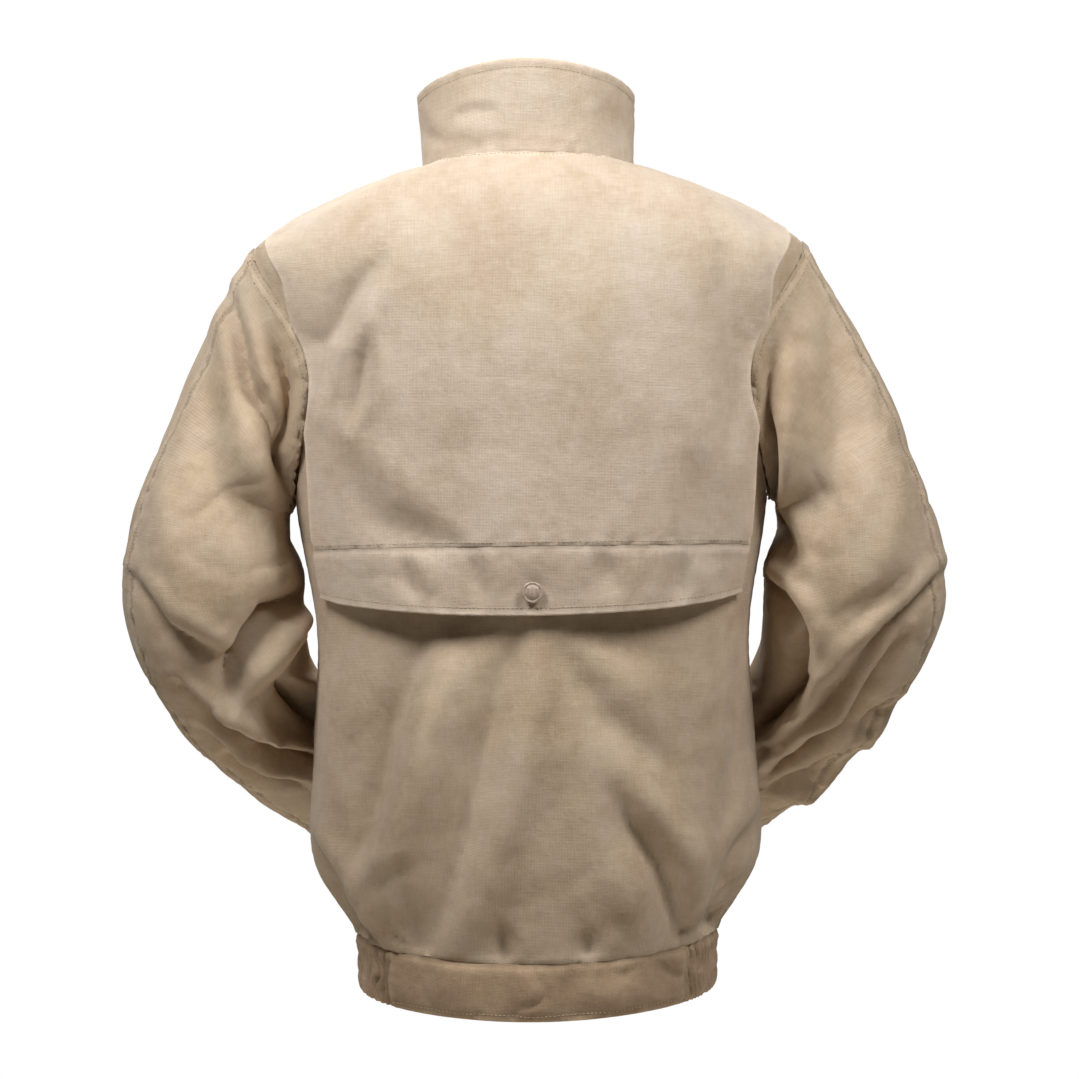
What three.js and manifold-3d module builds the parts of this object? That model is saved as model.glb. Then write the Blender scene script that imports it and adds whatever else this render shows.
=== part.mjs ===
// Beekeeper's blouson jacket in cotton canvas, laid out as its sewn panels.
// Millimetres, +Z up, the wearer faces -Y and the wearer's left is +X.
// The origin is the middle of the neck opening, level with the neck seam at the centre back.
import * as THREE from "three";
import { ParametricGeometry } from "three/addons/geometries/ParametricGeometry.js";
import { mergeVertices } from "three/addons/utils/BufferGeometryUtils.js";
import Module from "manifold-3d";

// Body
const BACK_LENGTH = 634; // neck seam to waistband seam at the centre back
const HEM_DROP = 16; // how much lower the waistband hangs at the centre back than at the sides
const WAISTBAND_HEIGHT = 43;
const NECK_HALF_WIDTH = 84;
const SHOULDER_HALF_WIDTH = 222;
const CHEST_HALF_WIDTH = 192;
const BODY_HALF_WIDTH = 176;
const WAIST_HALF_WIDTH = 144;
const BACK_DEPTH = 122; // how far the back stands behind the neck's middle
const FRONT_TOP_Y = -95; // the front edge of the collar top
const FRONT_SLOPE = 0.08; // the zip line leans forward by this much per millimetre down
const FRONT_NECK_DROP = 60;
const SQUARENESS = 0.06; // how much fuller than an ellipse a section of the body is
const COLLAR_HEIGHT = 73;

// Cloth
const CLOTH = 2;
const THIN_CLOTH = 1.2;
const BAND_CLOTH = 3;
const SEAM_GAP = 0.3;

// Armhole, in shares of the way from the neck seam to the waistband seam
const ARMHOLE_TOP = 0.27;
const ARMHOLE_BOTTOM = 0.58;
const ARMHOLE_ANGLE = 37; // how far it reaches round the body each way from the side, degrees

// Back cape with its snapped hem
const CAPE_START = 0.014;
const CAPE_FOLD = 0.622;
const CAPE_END = 0.678;
const CAPE_STAND_OFF = 6.6; // at the hem, where the snap holds it
const CAPE_BULGE = 3;
const FLAP_HALF_WIDTH = 110;
const SNAP_RADIUS = 8;
const SNAP_HEIGHT_ON_FLAP = 0.664;

// Sleeve
const ARM_WIDTH = 72; // half the width of the sleeve at its widest
const ARM_DEPTH = 80;
const CUFF_HALF_WIDTH = 47;
const CUFF_HALF_DEPTH = 45;
const CUFF_LENGTH = 55;
const HIND_SEAM = 30; // degrees round from the top of the sleeve towards the back
const UNDER_SEAM = 200;
const TAB_LENGTH = 62;
const TAB_WIDTH = 26;

// Zip
const CHAIN_WIDTH = 2.7;
const CHAIN_THICKNESS = 3;
const CHAIN_GAP = 1.8;
const ZIP_DEPTH = 1.5; // the chain's middle lies this far behind the front line
const TAPE_EDGE = 16;
const FRONT_EDGE = 7; // the front panels stop this far from the centre line
const SLIDER_LENGTH = 15;
const SLIDER_WIDTH = 10.4;
const PULL_LENGTH = 34;

// Pockets
const POCKET_ANGLE = 137; // degrees round the body from the centre back
const POCKET_HEIGHT = 0.8;
const POCKET_TILT = 58; // degrees
const WELT_LENGTH = 150;
const WELT_WIDTH = 22;
const BAG_DEPTH = 75;

const wasm = await Module();
wasm.setup();

const radians = THREE.MathUtils.degToRad;
const { clamp, lerp, smoothstep } = THREE.MathUtils;
const vector = (x, y, z) => new THREE.Vector3(x, y, z);

const canvas = { color: 0xc8b69e, roughness: 0.9, metalness: 0 };
const paleCanvas = { color: 0xdfcfbc, roughness: 0.9, metalness: 0 };
const band = { color: 0x9c866a, roughness: 0.92, metalness: 0 };
const mesh = { color: 0xb9a88e, roughness: 0.85, metalness: 0 };
const elastic = { color: 0xd9d2c4, roughness: 0.8, metalness: 0 };
const snapPaint = { color: 0xbfab98, roughness: 0.35, metalness: 0.3 };
const brass = { color: 0xa98d58, roughness: 0.35, metalness: 1 };

const jacket = new THREE.Group();

function add(name, geometry, look, parent = jacket) {
  const piece = new THREE.Mesh(geometry, new THREE.MeshStandardMaterial(look));
  piece.name = name;
  parent.add(piece);
  return piece;
}

// ---- Closed solids ----

function signedVolume(geometry) {
  const at = geometry.getAttribute("position");
  const index = geometry.index;
  const corner = [vector(), vector(), vector()];
  let total = 0;
  for (let i = 0; i < index.count; i += 3) {
    corner.forEach((c, k) => c.fromBufferAttribute(at, index.getX(i + k)));
    total += corner[0].dot(corner[1].cross(corner[2]));
  }
  return total / 6;
}

// Joins a surface that meets itself, drops faces without area and turns it to face out.
function joined(geometry) {
  geometry.deleteAttribute("normal");
  geometry.deleteAttribute("uv");
  const whole = mergeVertices(geometry, 1e-4);
  const faces = [];
  for (let i = 0; i < whole.index.count; i += 3) {
    const face = [0, 1, 2].map((k) => whole.index.getX(i + k));
    if (new Set(face).size === 3) faces.push(face);
  }
  whole.setIndex(faces.flat());
  if (signedVolume(whole) < 0) whole.setIndex(faces.map((f) => f.reverse()).flat());
  whole.computeVertexNormals();
  return whole;
}

// The direction square to a surface given as middle(u, v).
function squareTo(middle, u, v, loops) {
  const step = 1e-3;
  const [u0, u1] = loops ? [u - step, u + step] : [clamp(u - step, 0, 1), clamp(u + step, 0, 1)];
  const [v0, v1] = [clamp(v - step, 0, 1), clamp(v + step, 0, 1)];
  const across = middle(u1, v).sub(middle(u0, v));
  const down = middle(u, v1).sub(middle(u, v0));
  return across.cross(down).normalize();
}

// Splits the squares of both faces of a sheet along the same diagonal, so layers lie parallel.
function splitAlike(geometry, across, along, turned) {
  const faces = [];
  for (let row = 0; row < along; row++) {
    for (let k = 0; k < across; k++) {
      const a = row * (across + 1) + k;
      const [b, d] = [a + 1, a + across + 1];
      const c = d + 1;
      faces.push(...(turned(k) ? [a, b, c, a, c, d] : [a, b, d, b, c, d]));
    }
  }
  geometry.setIndex(faces);
  return geometry;
}

// A sheet of cloth with four edges, thickened evenly about its middle surface.
function sheet(middle, columns, rows, thickness) {
  const around = 2 * columns + 2;
  const along = rows + 2;
  const place = (a, b, target) => {
    const k = Math.round(a * around) % around;
    const outer = k <= columns;
    const u = (outer ? k : around - 1 - k) / columns;
    const row = Math.round(b * along);
    const v = clamp((row - 1) / rows, 0, 1);
    const half = row === 0 || row === along ? 0 : thickness / 2;
    target.copy(middle(u, v));
    target.addScaledVector(squareTo(middle, u, v, false), outer ? half : -half);
  };
  const geometry = new ParametricGeometry(place, around, along);
  return joined(splitAlike(geometry, around, along, (k) => k > columns));
}

// A sheet of cloth whose first and last columns meet, such as a cuff.
function tubeSheet(middle, columns, rows, thickness) {
  const along = 2 * rows + 2;
  const place = (a, b, target) => {
    const u = (Math.round(a * columns) % columns) / columns;
    const row = Math.round(b * along) % along;
    const outer = row <= rows;
    const v = (outer ? row : along - 1 - row) / rows;
    target.copy(middle(u, v));
    target.addScaledVector(squareTo(middle, u, v, true), ((outer ? 1 : -1) * thickness) / 2);
  };
  return joined(new ParametricGeometry(place, columns, along));
}

function solid(geometry) {
  const plain = geometry.clone();
  for (const name of Object.keys(plain.attributes)) {
    if (name !== "position") plain.deleteAttribute(name);
  }
  const whole = mergeVertices(plain, 1e-4);
  const vertProperties = new Float32Array(whole.attributes.position.array);
  const triVerts = new Uint32Array(whole.index.array);
  return new wasm.Manifold(new wasm.Mesh({ numProp: 3, vertProperties, triVerts }));
}

function geometryOf(made) {
  const { vertProperties, triVerts } = made.getMesh();
  const geometry = new THREE.BufferGeometry();
  geometry.setAttribute("position", new THREE.BufferAttribute(vertProperties, 3));
  geometry.setIndex(new THREE.BufferAttribute(triVerts, 1));
  geometry.computeVertexNormals();
  return geometry;
}

const cut = (from, ...tools) =>
  geometryOf(tools.reduce((rest, tool) => rest.subtract(solid(tool)), solid(from)));

const join = (...pieces) =>
  geometryOf(pieces.slice(1).reduce((sum, piece) => sum.add(solid(piece)), solid(pieces[0])));

// ---- The body's surface ----

const frontLine = (z) => FRONT_TOP_Y - FRONT_SLOPE * (COLLAR_HEIGHT - FRONT_NECK_DROP - z);

// Sections from the neck seam down: half width, back, and heights at the back, side and front.
const down = BACK_LENGTH / 634;
const SECTIONS = [
  [NECK_HALF_WIDTH, 72, 0, -2, -FRONT_NECK_DROP],
  [NECK_HALF_WIDTH * 0.6 + SHOULDER_HALF_WIDTH * 0.4, 98, -24 * down, -26 * down, -84 * down],
  [SHOULDER_HALF_WIDTH - 30, BACK_DEPTH - 10, -55 * down, -52 * down, -112 * down],
  [SHOULDER_HALF_WIDTH, BACK_DEPTH - 3, -98 * down, -80 * down, -145 * down],
  [CHEST_HALF_WIDTH + 14, BACK_DEPTH + 2, -155 * down, -145 * down, -190 * down],
  [CHEST_HALF_WIDTH + 2, BACK_DEPTH + 4, -220 * down, -215 * down, -245 * down],
  [CHEST_HALF_WIDTH - 7, BACK_DEPTH + 3, -290 * down, -290 * down, -305 * down],
  [BODY_HALF_WIDTH - 4, BACK_DEPTH, -375 * down, -375 * down, -378 * down],
  [BODY_HALF_WIDTH, BACK_DEPTH - 1, -468 * down, -468 * down, -468 * down],
  [BODY_HALF_WIDTH + 2, BACK_DEPTH - 3, -555 * down, -555 * down, -553 * down],
  [WAIST_HALF_WIDTH, BACK_DEPTH - 18, ...[0, HEM_DROP, HEM_DROP + 4].map((up) => up - BACK_LENGTH)],
];
const lastSection = SECTIONS.at(-1);
SECTIONS.push([
  lastSection[0] - 3,
  lastSection[1] - 2,
  ...lastSection.slice(2).map((z) => z - WAISTBAND_HEIGHT),
]);
const widthCurve = new THREE.CatmullRomCurve3(
  SECTIONS.map(([halfWidth, back]) => vector(halfWidth, back, 0)), false, "catmullrom", 0.5);
const heightCurve = new THREE.CatmullRomCurve3(
  SECTIONS.map(([, , back, side, front]) => vector(back, side, front)), false, "catmullrom", 0.5);
const HEM = (SECTIONS.length - 1) / (SECTIONS.length - 2);

// A point of the body: angle 0 is the centre back, +90 degrees the wearer's left side.
// way runs from 0 at the neck seam to 1 at the waistband seam and HEM at the hem.
function bodySurface(angle, way) {
  const share = clamp(way / HEM, 0, 1);
  const { x: halfWidth, y: back } = widthCurve.getPoint(share);
  const { x: zBack, y: zSide, z: zFront } = heightCurve.getPoint(share);
  const front = frontLine(zFront);
  const fuller = 1 + SQUARENESS * Math.sin(2 * angle) ** 2;
  const c = Math.cos(angle);
  const z = c > 0 ? lerp(zSide, zBack, c * c) : lerp(zSide, zFront, c * c);
  return vector(
    halfWidth * Math.sin(angle) * fuller,
    (back + front) / 2 + ((back - front) / 2) * c * fuller,
    z,
  );
}

function bodyNormal(angle, way) {
  const step = 1e-3;
  const across = bodySurface(angle + step, way).sub(bodySurface(angle - step, way));
  const along = bodySurface(angle, way + step).sub(bodySurface(angle, Math.max(way - step, 0)));
  return across.cross(along).normalize();
}

const bodyAt = (angle, way, out = 0) =>
  bodySurface(angle, way).addScaledVector(bodyNormal(angle, way), out);

// The point with this x on the back, at a height off the body.
function backAtX(x, way, out) {
  let low = -Math.PI / 2;
  let high = Math.PI / 2;
  for (let i = 0; i < 30; i++) {
    const middle = (low + high) / 2;
    if (bodyAt(middle, way, out).x < x) low = middle;
    else high = middle;
  }
  return bodyAt((low + high) / 2, way, out).setX(x);
}

// How far the armhole reaches round from the side seam.
function armholeReach(way) {
  const share = (way - ARMHOLE_TOP) / (ARMHOLE_BOTTOM - ARMHOLE_TOP);
  if (share <= 0 || share >= 1) return 0;
  return radians(ARMHOLE_ANGLE) * Math.sqrt(Math.sin(Math.PI * share));
}

// Rows of a body panel lie closer together beside the armhole.
const PANEL_ROWS = 17;
const SHOULDER_ROWS = 4;
const ARMHOLE_ROWS = 7;
function panelWay(row) {
  if (row <= SHOULDER_ROWS) return (ARMHOLE_TOP * row) / SHOULDER_ROWS;
  const beside = (row - SHOULDER_ROWS) / ARMHOLE_ROWS;
  if (beside <= 1) return lerp(ARMHOLE_TOP, ARMHOLE_BOTTOM, beside);
  const left = PANEL_ROWS - SHOULDER_ROWS - ARMHOLE_ROWS;
  return lerp(ARMHOLE_BOTTOM, 1, (row - SHOULDER_ROWS - ARMHOLE_ROWS) / left);
}

const SEAM_ANGLE = radians(0.09); // half the gap at a seam down the body
const BACK_COLUMNS = 14;

// ---- Back ----

const backEdge = (way) => Math.PI / 2 - armholeReach(way) - SEAM_ANGLE;

function backPart(out, thickness, firstColumn, lastColumn, firstRow, lastRow) {
  const columns = lastColumn - firstColumn;
  const rows = lastRow - firstRow;
  const middle = (u, v) => {
    const way = panelWay(firstRow + v * rows);
    const share = (firstColumn + u * columns) / BACK_COLUMNS;
    return bodyAt((share * 2 - 1) * backEdge(way), way, out);
  };
  return sheet(middle, columns, rows, thickness);
}

// The cape lies on the neck and shoulder seams and stands off the back lower down.
function capeOut(way) {
  const bulge = CAPE_BULGE * Math.sin(Math.PI * clamp(way / CAPE_FOLD, 0, 1)) ** 2;
  return lerp(CLOTH + 0.7, CAPE_STAND_OFF, smoothstep(way, 0, 0.16)) + bulge;
}

// The cape is sewn into the shoulder seam. Past the corner its free edge runs in to the
// armhole and down beside it, a little inside the sleeve seam.
const CAPE_CORNER = 0.18;
const CAPE_WAIST = 0.33;
const CAPE_SLEEVE_GAP = radians(2.2);
function capeEdge(way) {
  const corner = lerp(86, 52, smoothstep(way, CAPE_CORNER, CAPE_WAIST));
  const below = clamp((way - CAPE_WAIST) / (CAPE_END - CAPE_WAIST), 0, 1);
  return Math.min(backEdge(way) - CAPE_SLEEVE_GAP, radians(lerp(corner, 62, below)));
}

function capeSheet() {
  const middle = (u, v) => {
    const way = lerp(CAPE_START, CAPE_FOLD, v);
    return bodyAt((u * 2 - 1) * capeEdge(way), way, capeOut(way));
  };
  return sheet(middle, 14, 13, CLOTH);
}

const FOLD_GAP = (SEAM_GAP + 0.2) / BACK_LENGTH;

function hemSheet(fromX, toX, columns) {
  const middle = (u, v) => {
    const way = lerp(CAPE_FOLD + FOLD_GAP, CAPE_END, v);
    const side = bodyAt(capeEdge(way), way, CAPE_STAND_OFF).x;
    const x = lerp(Math.max(fromX, -side), Math.min(toX, side), u);
    return backAtX(x, way, CAPE_STAND_OFF);
  };
  return sheet(middle, columns, 3, CLOTH);
}

// ---- Snap fastener, drawn along +Y from the face of the cloth ----

const lathe = (points, segments = 16) =>
  joined(new THREE.LatheGeometry(points.map(([r, y]) => new THREE.Vector2(r, y)), segments));

const SHANK = 1.9;
const snapCap = (radius) => lathe([
  [0, 3.1], [radius * 0.45, 3.0], [radius * 0.8, 2.5], [radius, 1.5], [radius, 0.3],
  [SHANK, 0.3], [SHANK, -CLOTH - 0.5], [0, -CLOTH - 0.5],
]);
const snapSocket = (radius) => lathe([
  [SHANK + 0.3, -0.3], [radius, -0.3], [radius, -2.6], [3.4, -2.6], [3.4, -1.0],
  [SHANK + 0.3, -1.0], [SHANK + 0.3, -0.3],
]);
const snapStud = (radius) => lathe([
  [0, 2.3], [2.4, 2.3], [2.8, 1.8], [2.2, 1.2], [radius, 1.2], [radius, 0.3],
  [SHANK - 0.5, 0.3], [SHANK - 0.5, -CLOTH / 2], [0, -CLOTH / 2],
]);
const snapPost = (radius) => lathe([
  [0, -CLOTH / 2 - 0.3], [SHANK - 0.5, -CLOTH / 2 - 0.3], [SHANK - 0.5, -CLOTH - 0.3],
  [radius, -CLOTH - 0.3], [radius * 0.8, -CLOTH - 1.3], [0, -CLOTH - 1.5],
]);
const shankHole = () => new THREE.CylinderGeometry(SHANK + 0.3, SHANK + 0.3, 3 * CLOTH, 24);

// Sets a fastener drawn along +Y on a face at place, pointing along out.
function seat(piece, place, out) {
  piece.position.copy(place);
  piece.quaternion.setFromUnitVectors(vector(0, 1, 0), out);
  piece.updateMatrix();
  return piece;
}

function seatedGeometry(geometry, place, out) {
  const turn = new THREE.Quaternion().setFromUnitVectors(vector(0, 1, 0), out);
  return geometry.applyQuaternion(turn).translate(place.x, place.y, place.z);
}

function addBack() {
  const out = bodyNormal(0, SNAP_HEIGHT_ON_FLAP);
  const backFace = bodyAt(0, SNAP_HEIGHT_ON_FLAP, CLOTH / 2);
  const flapMiddle = bodyAt(0, SNAP_HEIGHT_ON_FLAP, CAPE_STAND_OFF);
  const flapFace = flapMiddle.clone().addScaledVector(out, CLOTH / 2);
  const flapUnder = flapMiddle.clone().addScaledVector(out, -CLOTH / 2);
  const panel = backPart(0, CLOTH, 0, BACK_COLUMNS, 0, PANEL_ROWS);
  add("back_panel", cut(panel, seatedGeometry(shankHole(), backFace, out)), canvas);
  add("vent_mesh", backPart(CLOTH / 2 + SEAM_GAP + 0.4, 0.8, 3, 11, 3, 9), mesh);
  add("back_cape", capeSheet(), paleCanvas);
  const flap = hemSheet(-FLAP_HALF_WIDTH, FLAP_HALF_WIDTH, 12);
  add("cape_flap", cut(flap, seatedGeometry(shankHole(), flapMiddle, out)), canvas);
  add("cape_hem_end_left", hemSheet(FLAP_HALF_WIDTH + SEAM_GAP, Infinity, 4), canvas);
  add("cape_hem_end_right", hemSheet(-Infinity, -FLAP_HALF_WIDTH - SEAM_GAP, 4), canvas);
  seat(add("cape_snap_cap", snapCap(SNAP_RADIUS), snapPaint), flapFace, out);
  seat(add("cape_snap_socket", snapSocket(6), brass), flapUnder, out);
  seat(add("back_snap_stud", snapStud(5.5), brass), backFace, out);
  seat(add("back_snap_post", snapPost(5.5), brass), backFace, out);
}

// ---- Fronts, with the facing inside and the pocket slits ----

const FRONT_COLUMNS = 9;
const FACING_COLUMNS = 2;
const FACING_START = 18.5;

// Angle of a front column: 0 is the zip edge, 1 the start of the facing, the last the side.
function frontAngle(column, way, side) {
  const halfWidth = bodySurface(Math.PI / 2, way).x;
  const edge = Math.PI - FRONT_EDGE / halfWidth;
  const facing = Math.PI - FACING_START / halfWidth;
  const outer = Math.PI / 2 + armholeReach(way) + SEAM_ANGLE;
  if (column <= 1) return side * lerp(edge, facing, column);
  return side * lerp(facing, outer, (column - 1) / (FRONT_COLUMNS - 1));
}

function frontPart(side, out, thickness, firstColumn, lastColumn) {
  const columns = lastColumn - firstColumn;
  const middle = (u, v) => {
    const way = panelWay(v * PANEL_ROWS);
    return bodyAt(frontAngle(firstColumn + u * columns, way, side), way, out);
  };
  return sheet(middle, columns, PANEL_ROWS, thickness);
}

// A place on the front: along the welt, and square to it towards the side seam.
function pocketAt(side, along, across, out) {
  const tilt = radians(POCKET_TILT);
  const round = along * Math.cos(tilt) + across * Math.sin(tilt);
  const drop = along * Math.sin(tilt) - across * Math.cos(tilt);
  const angle = radians(POCKET_ANGLE) - round / BODY_HALF_WIDTH;
  return bodyAt(side * angle, POCKET_HEIGHT + drop / BACK_LENGTH, out);
}

function pocketSheet(side, length, from, to, out, thickness, columns, rows) {
  const middle = (u, v) => pocketAt(side, (u - 0.5) * length, lerp(from, to, v), out);
  return sheet(middle, columns, rows, thickness);
}

const WELT_OUT = CLOTH / 2 + 0.6 + 1.5;
const BAG_OUT = -CLOTH / 2 - 8;

function addFront(side, name) {
  const slit = pocketSheet(side, WELT_LENGTH - 12, 2, 9, 0, 8, 8, 1);
  add(`front_panel_${name}`, cut(frontPart(side, 0, CLOTH, 0, FRONT_COLUMNS), slit), canvas);
  const facingOut = -(CLOTH / 2 + SEAM_GAP + THIN_CLOTH / 2);
  const facing = frontPart(side, facingOut, THIN_CLOTH, 1, 1 + FACING_COLUMNS);
  add(`front_facing_${name}`, facing, canvas);
  const welt = pocketSheet(side, WELT_LENGTH, -WELT_WIDTH, 0, WELT_OUT, 3, 10, 3);
  add(`pocket_welt_${name}`, welt, canvas);
  const pouch = pocketSheet(side, WELT_LENGTH + 6, -BAG_DEPTH, 12, BAG_OUT, 7, 8, 4);
  const hollow = pocketSheet(side, WELT_LENGTH + 3, 1.5 - BAG_DEPTH, 10.5, BAG_OUT, 4.6, 8, 4);
  const lip = pocketSheet(side, WELT_LENGTH / 2, 10.5, 14, -6.3, 6, 4, 1);
  const mouth = pocketSheet(side, WELT_LENGTH - 12, 2, 9, BAG_OUT + 6, 12, 8, 1);
  add(`pocket_bag_${name}`, cut(join(pouch, lip), hollow, mouth), mesh);
}

// ---- Collar ----

function collarAt(angle, height, out = 0) {
  const seam = bodySurface(angle, 0).z;
  const front = frontLine(bodySurface(Math.PI, 0).z + height);
  const back = SECTIONS[0][1] + 0.03 * height;
  const halfWidth = NECK_HALF_WIDTH + 0.03 * height;
  const fuller = 1 + SQUARENESS * Math.sin(2 * angle) ** 2;
  return vector(
    (halfWidth + out) * Math.sin(angle) * fuller,
    (back + front) / 2 + ((back - front) / 2 + out) * Math.cos(angle) * fuller,
    seam + height,
  );
}

const COLLAR_COLUMNS = 24;

// The first and last columns of the collar lie beside the zip, where it has no facing.
function collarAngle(column) {
  const edge = Math.PI - FRONT_EDGE / NECK_HALF_WIDTH;
  const facing = Math.PI - FACING_START / NECK_HALF_WIDTH;
  if (column < 1) return -lerp(edge, facing, column);
  if (column > COLLAR_COLUMNS - 1) return lerp(edge, facing, COLLAR_COLUMNS - column);
  return facing * (((column - 1) / (COLLAR_COLUMNS - 2)) * 2 - 1);
}

function collarSheet(out, thickness, firstColumn, top) {
  const columns = COLLAR_COLUMNS - 2 * firstColumn;
  const foot = 2.1;
  const middle = (u, v) =>
    collarAt(collarAngle(firstColumn + u * columns), lerp(foot, top, v), out);
  return sheet(middle, columns, 3, thickness);
}

function hangLoop() {
  const half = radians(19);
  const middle = (u, v) => {
    const bow = 7 * Math.sin(Math.PI * u);
    const out = -(CLOTH / 2 + SEAM_GAP + THIN_CLOTH + SEAM_GAP + 0.8) - bow;
    return collarAt((u * 2 - 1) * half, lerp(8, 15, v), out);
  };
  return sheet(middle, 12, 1, 1);
}

function addCollar() {
  add("collar_outer", collarSheet(0, CLOTH, 0, COLLAR_HEIGHT), paleCanvas);
  const inside = -(CLOTH / 2 + SEAM_GAP + THIN_CLOTH / 2);
  const facing = collarSheet(inside, THIN_CLOTH, 1, COLLAR_HEIGHT);
  add("collar_facing", facing, canvas);
  add("hang_loop", hangLoop(), band);
}

// ---- Sleeves ----

// Stations down the arm at even steps: middle of the sleeve, then half width and half depth.
const ARM = [
  [205, 0, -165, 60, 74],
  [250, 0, -262, ARM_WIDTH - 15, ARM_DEPTH - 2],
  [257, -4, -342, ARM_WIDTH, ARM_DEPTH],
  [241, -52, -413, ARM_WIDTH - 11, ARM_DEPTH - 12],
  [205, -112, -466, ARM_WIDTH - 19, ARM_DEPTH - 22],
  [160, -158, -508, CUFF_HALF_WIDTH, CUFF_HALF_DEPTH],
];
const widen = SHOULDER_HALF_WIDTH - 222;
const armCurve = new THREE.CatmullRomCurve3(
  ARM.map(([x, y, z]) => vector(x + widen, y * down, z * down)), false, "catmullrom", 0.5);
const armSize = new THREE.CatmullRomCurve3(
  ARM.map(([, , , width, depth]) => vector(width, depth, 0)), false, "catmullrom", 0.5);

// The sleeve's cross directions: out to the side of the arm, and to its back.
function armFrame(way) {
  const along = armCurve.getTangent(clamp(way, 0.001, 0.999));
  const back = vector(0, 1, 0).addScaledVector(along, -along.y).normalize();
  return { along, back, outward: along.clone().cross(back).normalize() };
}

// round is 0 at the top or outer side of the sleeve and +90 degrees at its back.
function armholeEdge(round) {
  const share = (1 - Math.cos(round)) / 2;
  const way = lerp(ARMHOLE_TOP, ARMHOLE_BOTTOM, share);
  const reach = radians(ARMHOLE_ANGLE) * Math.sqrt(Math.max(Math.sin(Math.PI * share), 0));
  const angle = Math.PI / 2 - Math.sign(Math.sin(round)) * reach;
  return bodyAt(angle, way, CLOTH + 0.9);
}

function sleeveRing(round, way, out = 0) {
  const { along, back, outward } = armFrame(way);
  const size = armSize.getPoint(clamp(way, 0, 1));
  const beyond = Math.max(way - 1, 0);
  return armCurve.getPoint(clamp(way, 0, 1))
    .addScaledVector(outward, Math.cos(round) * (size.x + out))
    .addScaledVector(back, Math.sin(round) * (size.y + out))
    .addScaledVector(along, beyond);
}

const FIRST_RING = 0.2; // the sleeve runs straight from the armhole to its first full ring
function sleeveAt(round, way) {
  if (way >= FIRST_RING) return sleeveRing(round, way);
  return armholeEdge(round).lerp(sleeveRing(round, FIRST_RING), way / FIRST_RING);
}

function sleevePart(side, from, to, columns) {
  const gap = 0.12;
  const middle = (u, v) => {
    const point = sleeveAt(radians(lerp(from + gap, to - gap, u)), v);
    return point.setX(side * point.x);
  };
  return sheet(middle, columns, 13, CLOTH);
}

// A place on the cuff, a given length below the end of the sleeve.
function cuffAt(side, round, length, out) {
  const { along } = armFrame(1);
  const point = sleeveRing(round, 1, out).addScaledVector(along, length);
  return point.setX(side * point.x);
}

const TAB_START = -105;
const TAB_SWEEP = (TAB_LENGTH / CUFF_HALF_WIDTH) * (180 / Math.PI);
const TAB_OUT = BAND_CLOTH / 2 + 4.5 + CLOTH / 2;

function tabSheet(side) {
  const middle = (u, v) => {
    const round = radians(TAB_START + TAB_SWEEP * u);
    const rise = lerp(BAND_CLOTH / 2 + CLOTH / 2 + 0.5, TAB_OUT, smoothstep(u, 0, 0.5));
    return cuffAt(side, round, lerp(-0.5, 0.5, v) * TAB_WIDTH + CUFF_LENGTH / 2, rise);
  };
  return sheet(middle, 12, 2, CLOTH);
}

function addSleeve(side, name) {
  add(`sleeve_top_${name}`, sleevePart(side, UNDER_SEAM - 360, HIND_SEAM, 11), canvas);
  add(`sleeve_under_${name}`, sleevePart(side, HIND_SEAM, UNDER_SEAM, 10), canvas);
  const length = (v) => lerp(SEAM_GAP + 0.1, CUFF_LENGTH, v);
  const cuff = tubeSheet((u, v) => cuffAt(side, u * 2 * Math.PI, length(v), 0), 20, 1, BAND_CLOTH);
  const snapRound = radians(TAB_START + TAB_SWEEP * 0.82);
  const foot = cuffAt(side, snapRound, CUFF_LENGTH / 2, BAND_CLOTH / 2);
  const top = cuffAt(side, snapRound, CUFF_LENGTH / 2, TAB_OUT + CLOTH / 2);
  const out = top.clone().sub(foot).normalize();
  const under = top.clone().addScaledVector(out, -CLOTH - 0.2);
  const middle = top.clone().addScaledVector(out, -CLOTH / 2);
  add(`cuff_${name}`, cut(cuff, seatedGeometry(shankHole(), foot.clone(), out)), band);
  add(`cuff_tab_${name}`, cut(tabSheet(side), seatedGeometry(shankHole(), middle, out)), band);
  seat(add(`cuff_snap_cap_${name}`, snapCap(6.5), snapPaint), top, out);
  seat(add(`cuff_snap_socket_${name}`, snapSocket(5), brass), under, out);
  seat(add(`cuff_snap_stud_${name}`, snapStud(4.8), brass), foot, out);
}

// ---- Waistband ----

const BACK_BAND_END = 50; // degrees
const SIDE_BAND_END = 112;
const BAND_TOP = 1 + 0.5 / WAISTBAND_HEIGHT / 10;

function bandSheet(from, to, out, thickness, top, bottom, columns) {
  const middle = (u, v) => bodyAt(radians(lerp(from, to, u)), lerp(top, bottom, v), out);
  return sheet(middle, columns, 2, thickness);
}

function casing(side) {
  const inset = 0.15;
  const from = side * (BACK_BAND_END + inset);
  const to = side * (SIDE_BAND_END - inset);
  const wall = 0.0035;
  const outer = bandSheet(from, to, 0, 7, BAND_TOP, HEM, 9);
  const extra = (to - from) / 9;
  const inner = bandSheet(from - extra, to + extra, 0, 4.4, BAND_TOP + wall, HEM - wall, 11);
  return cut(outer, inner);
}

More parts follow.
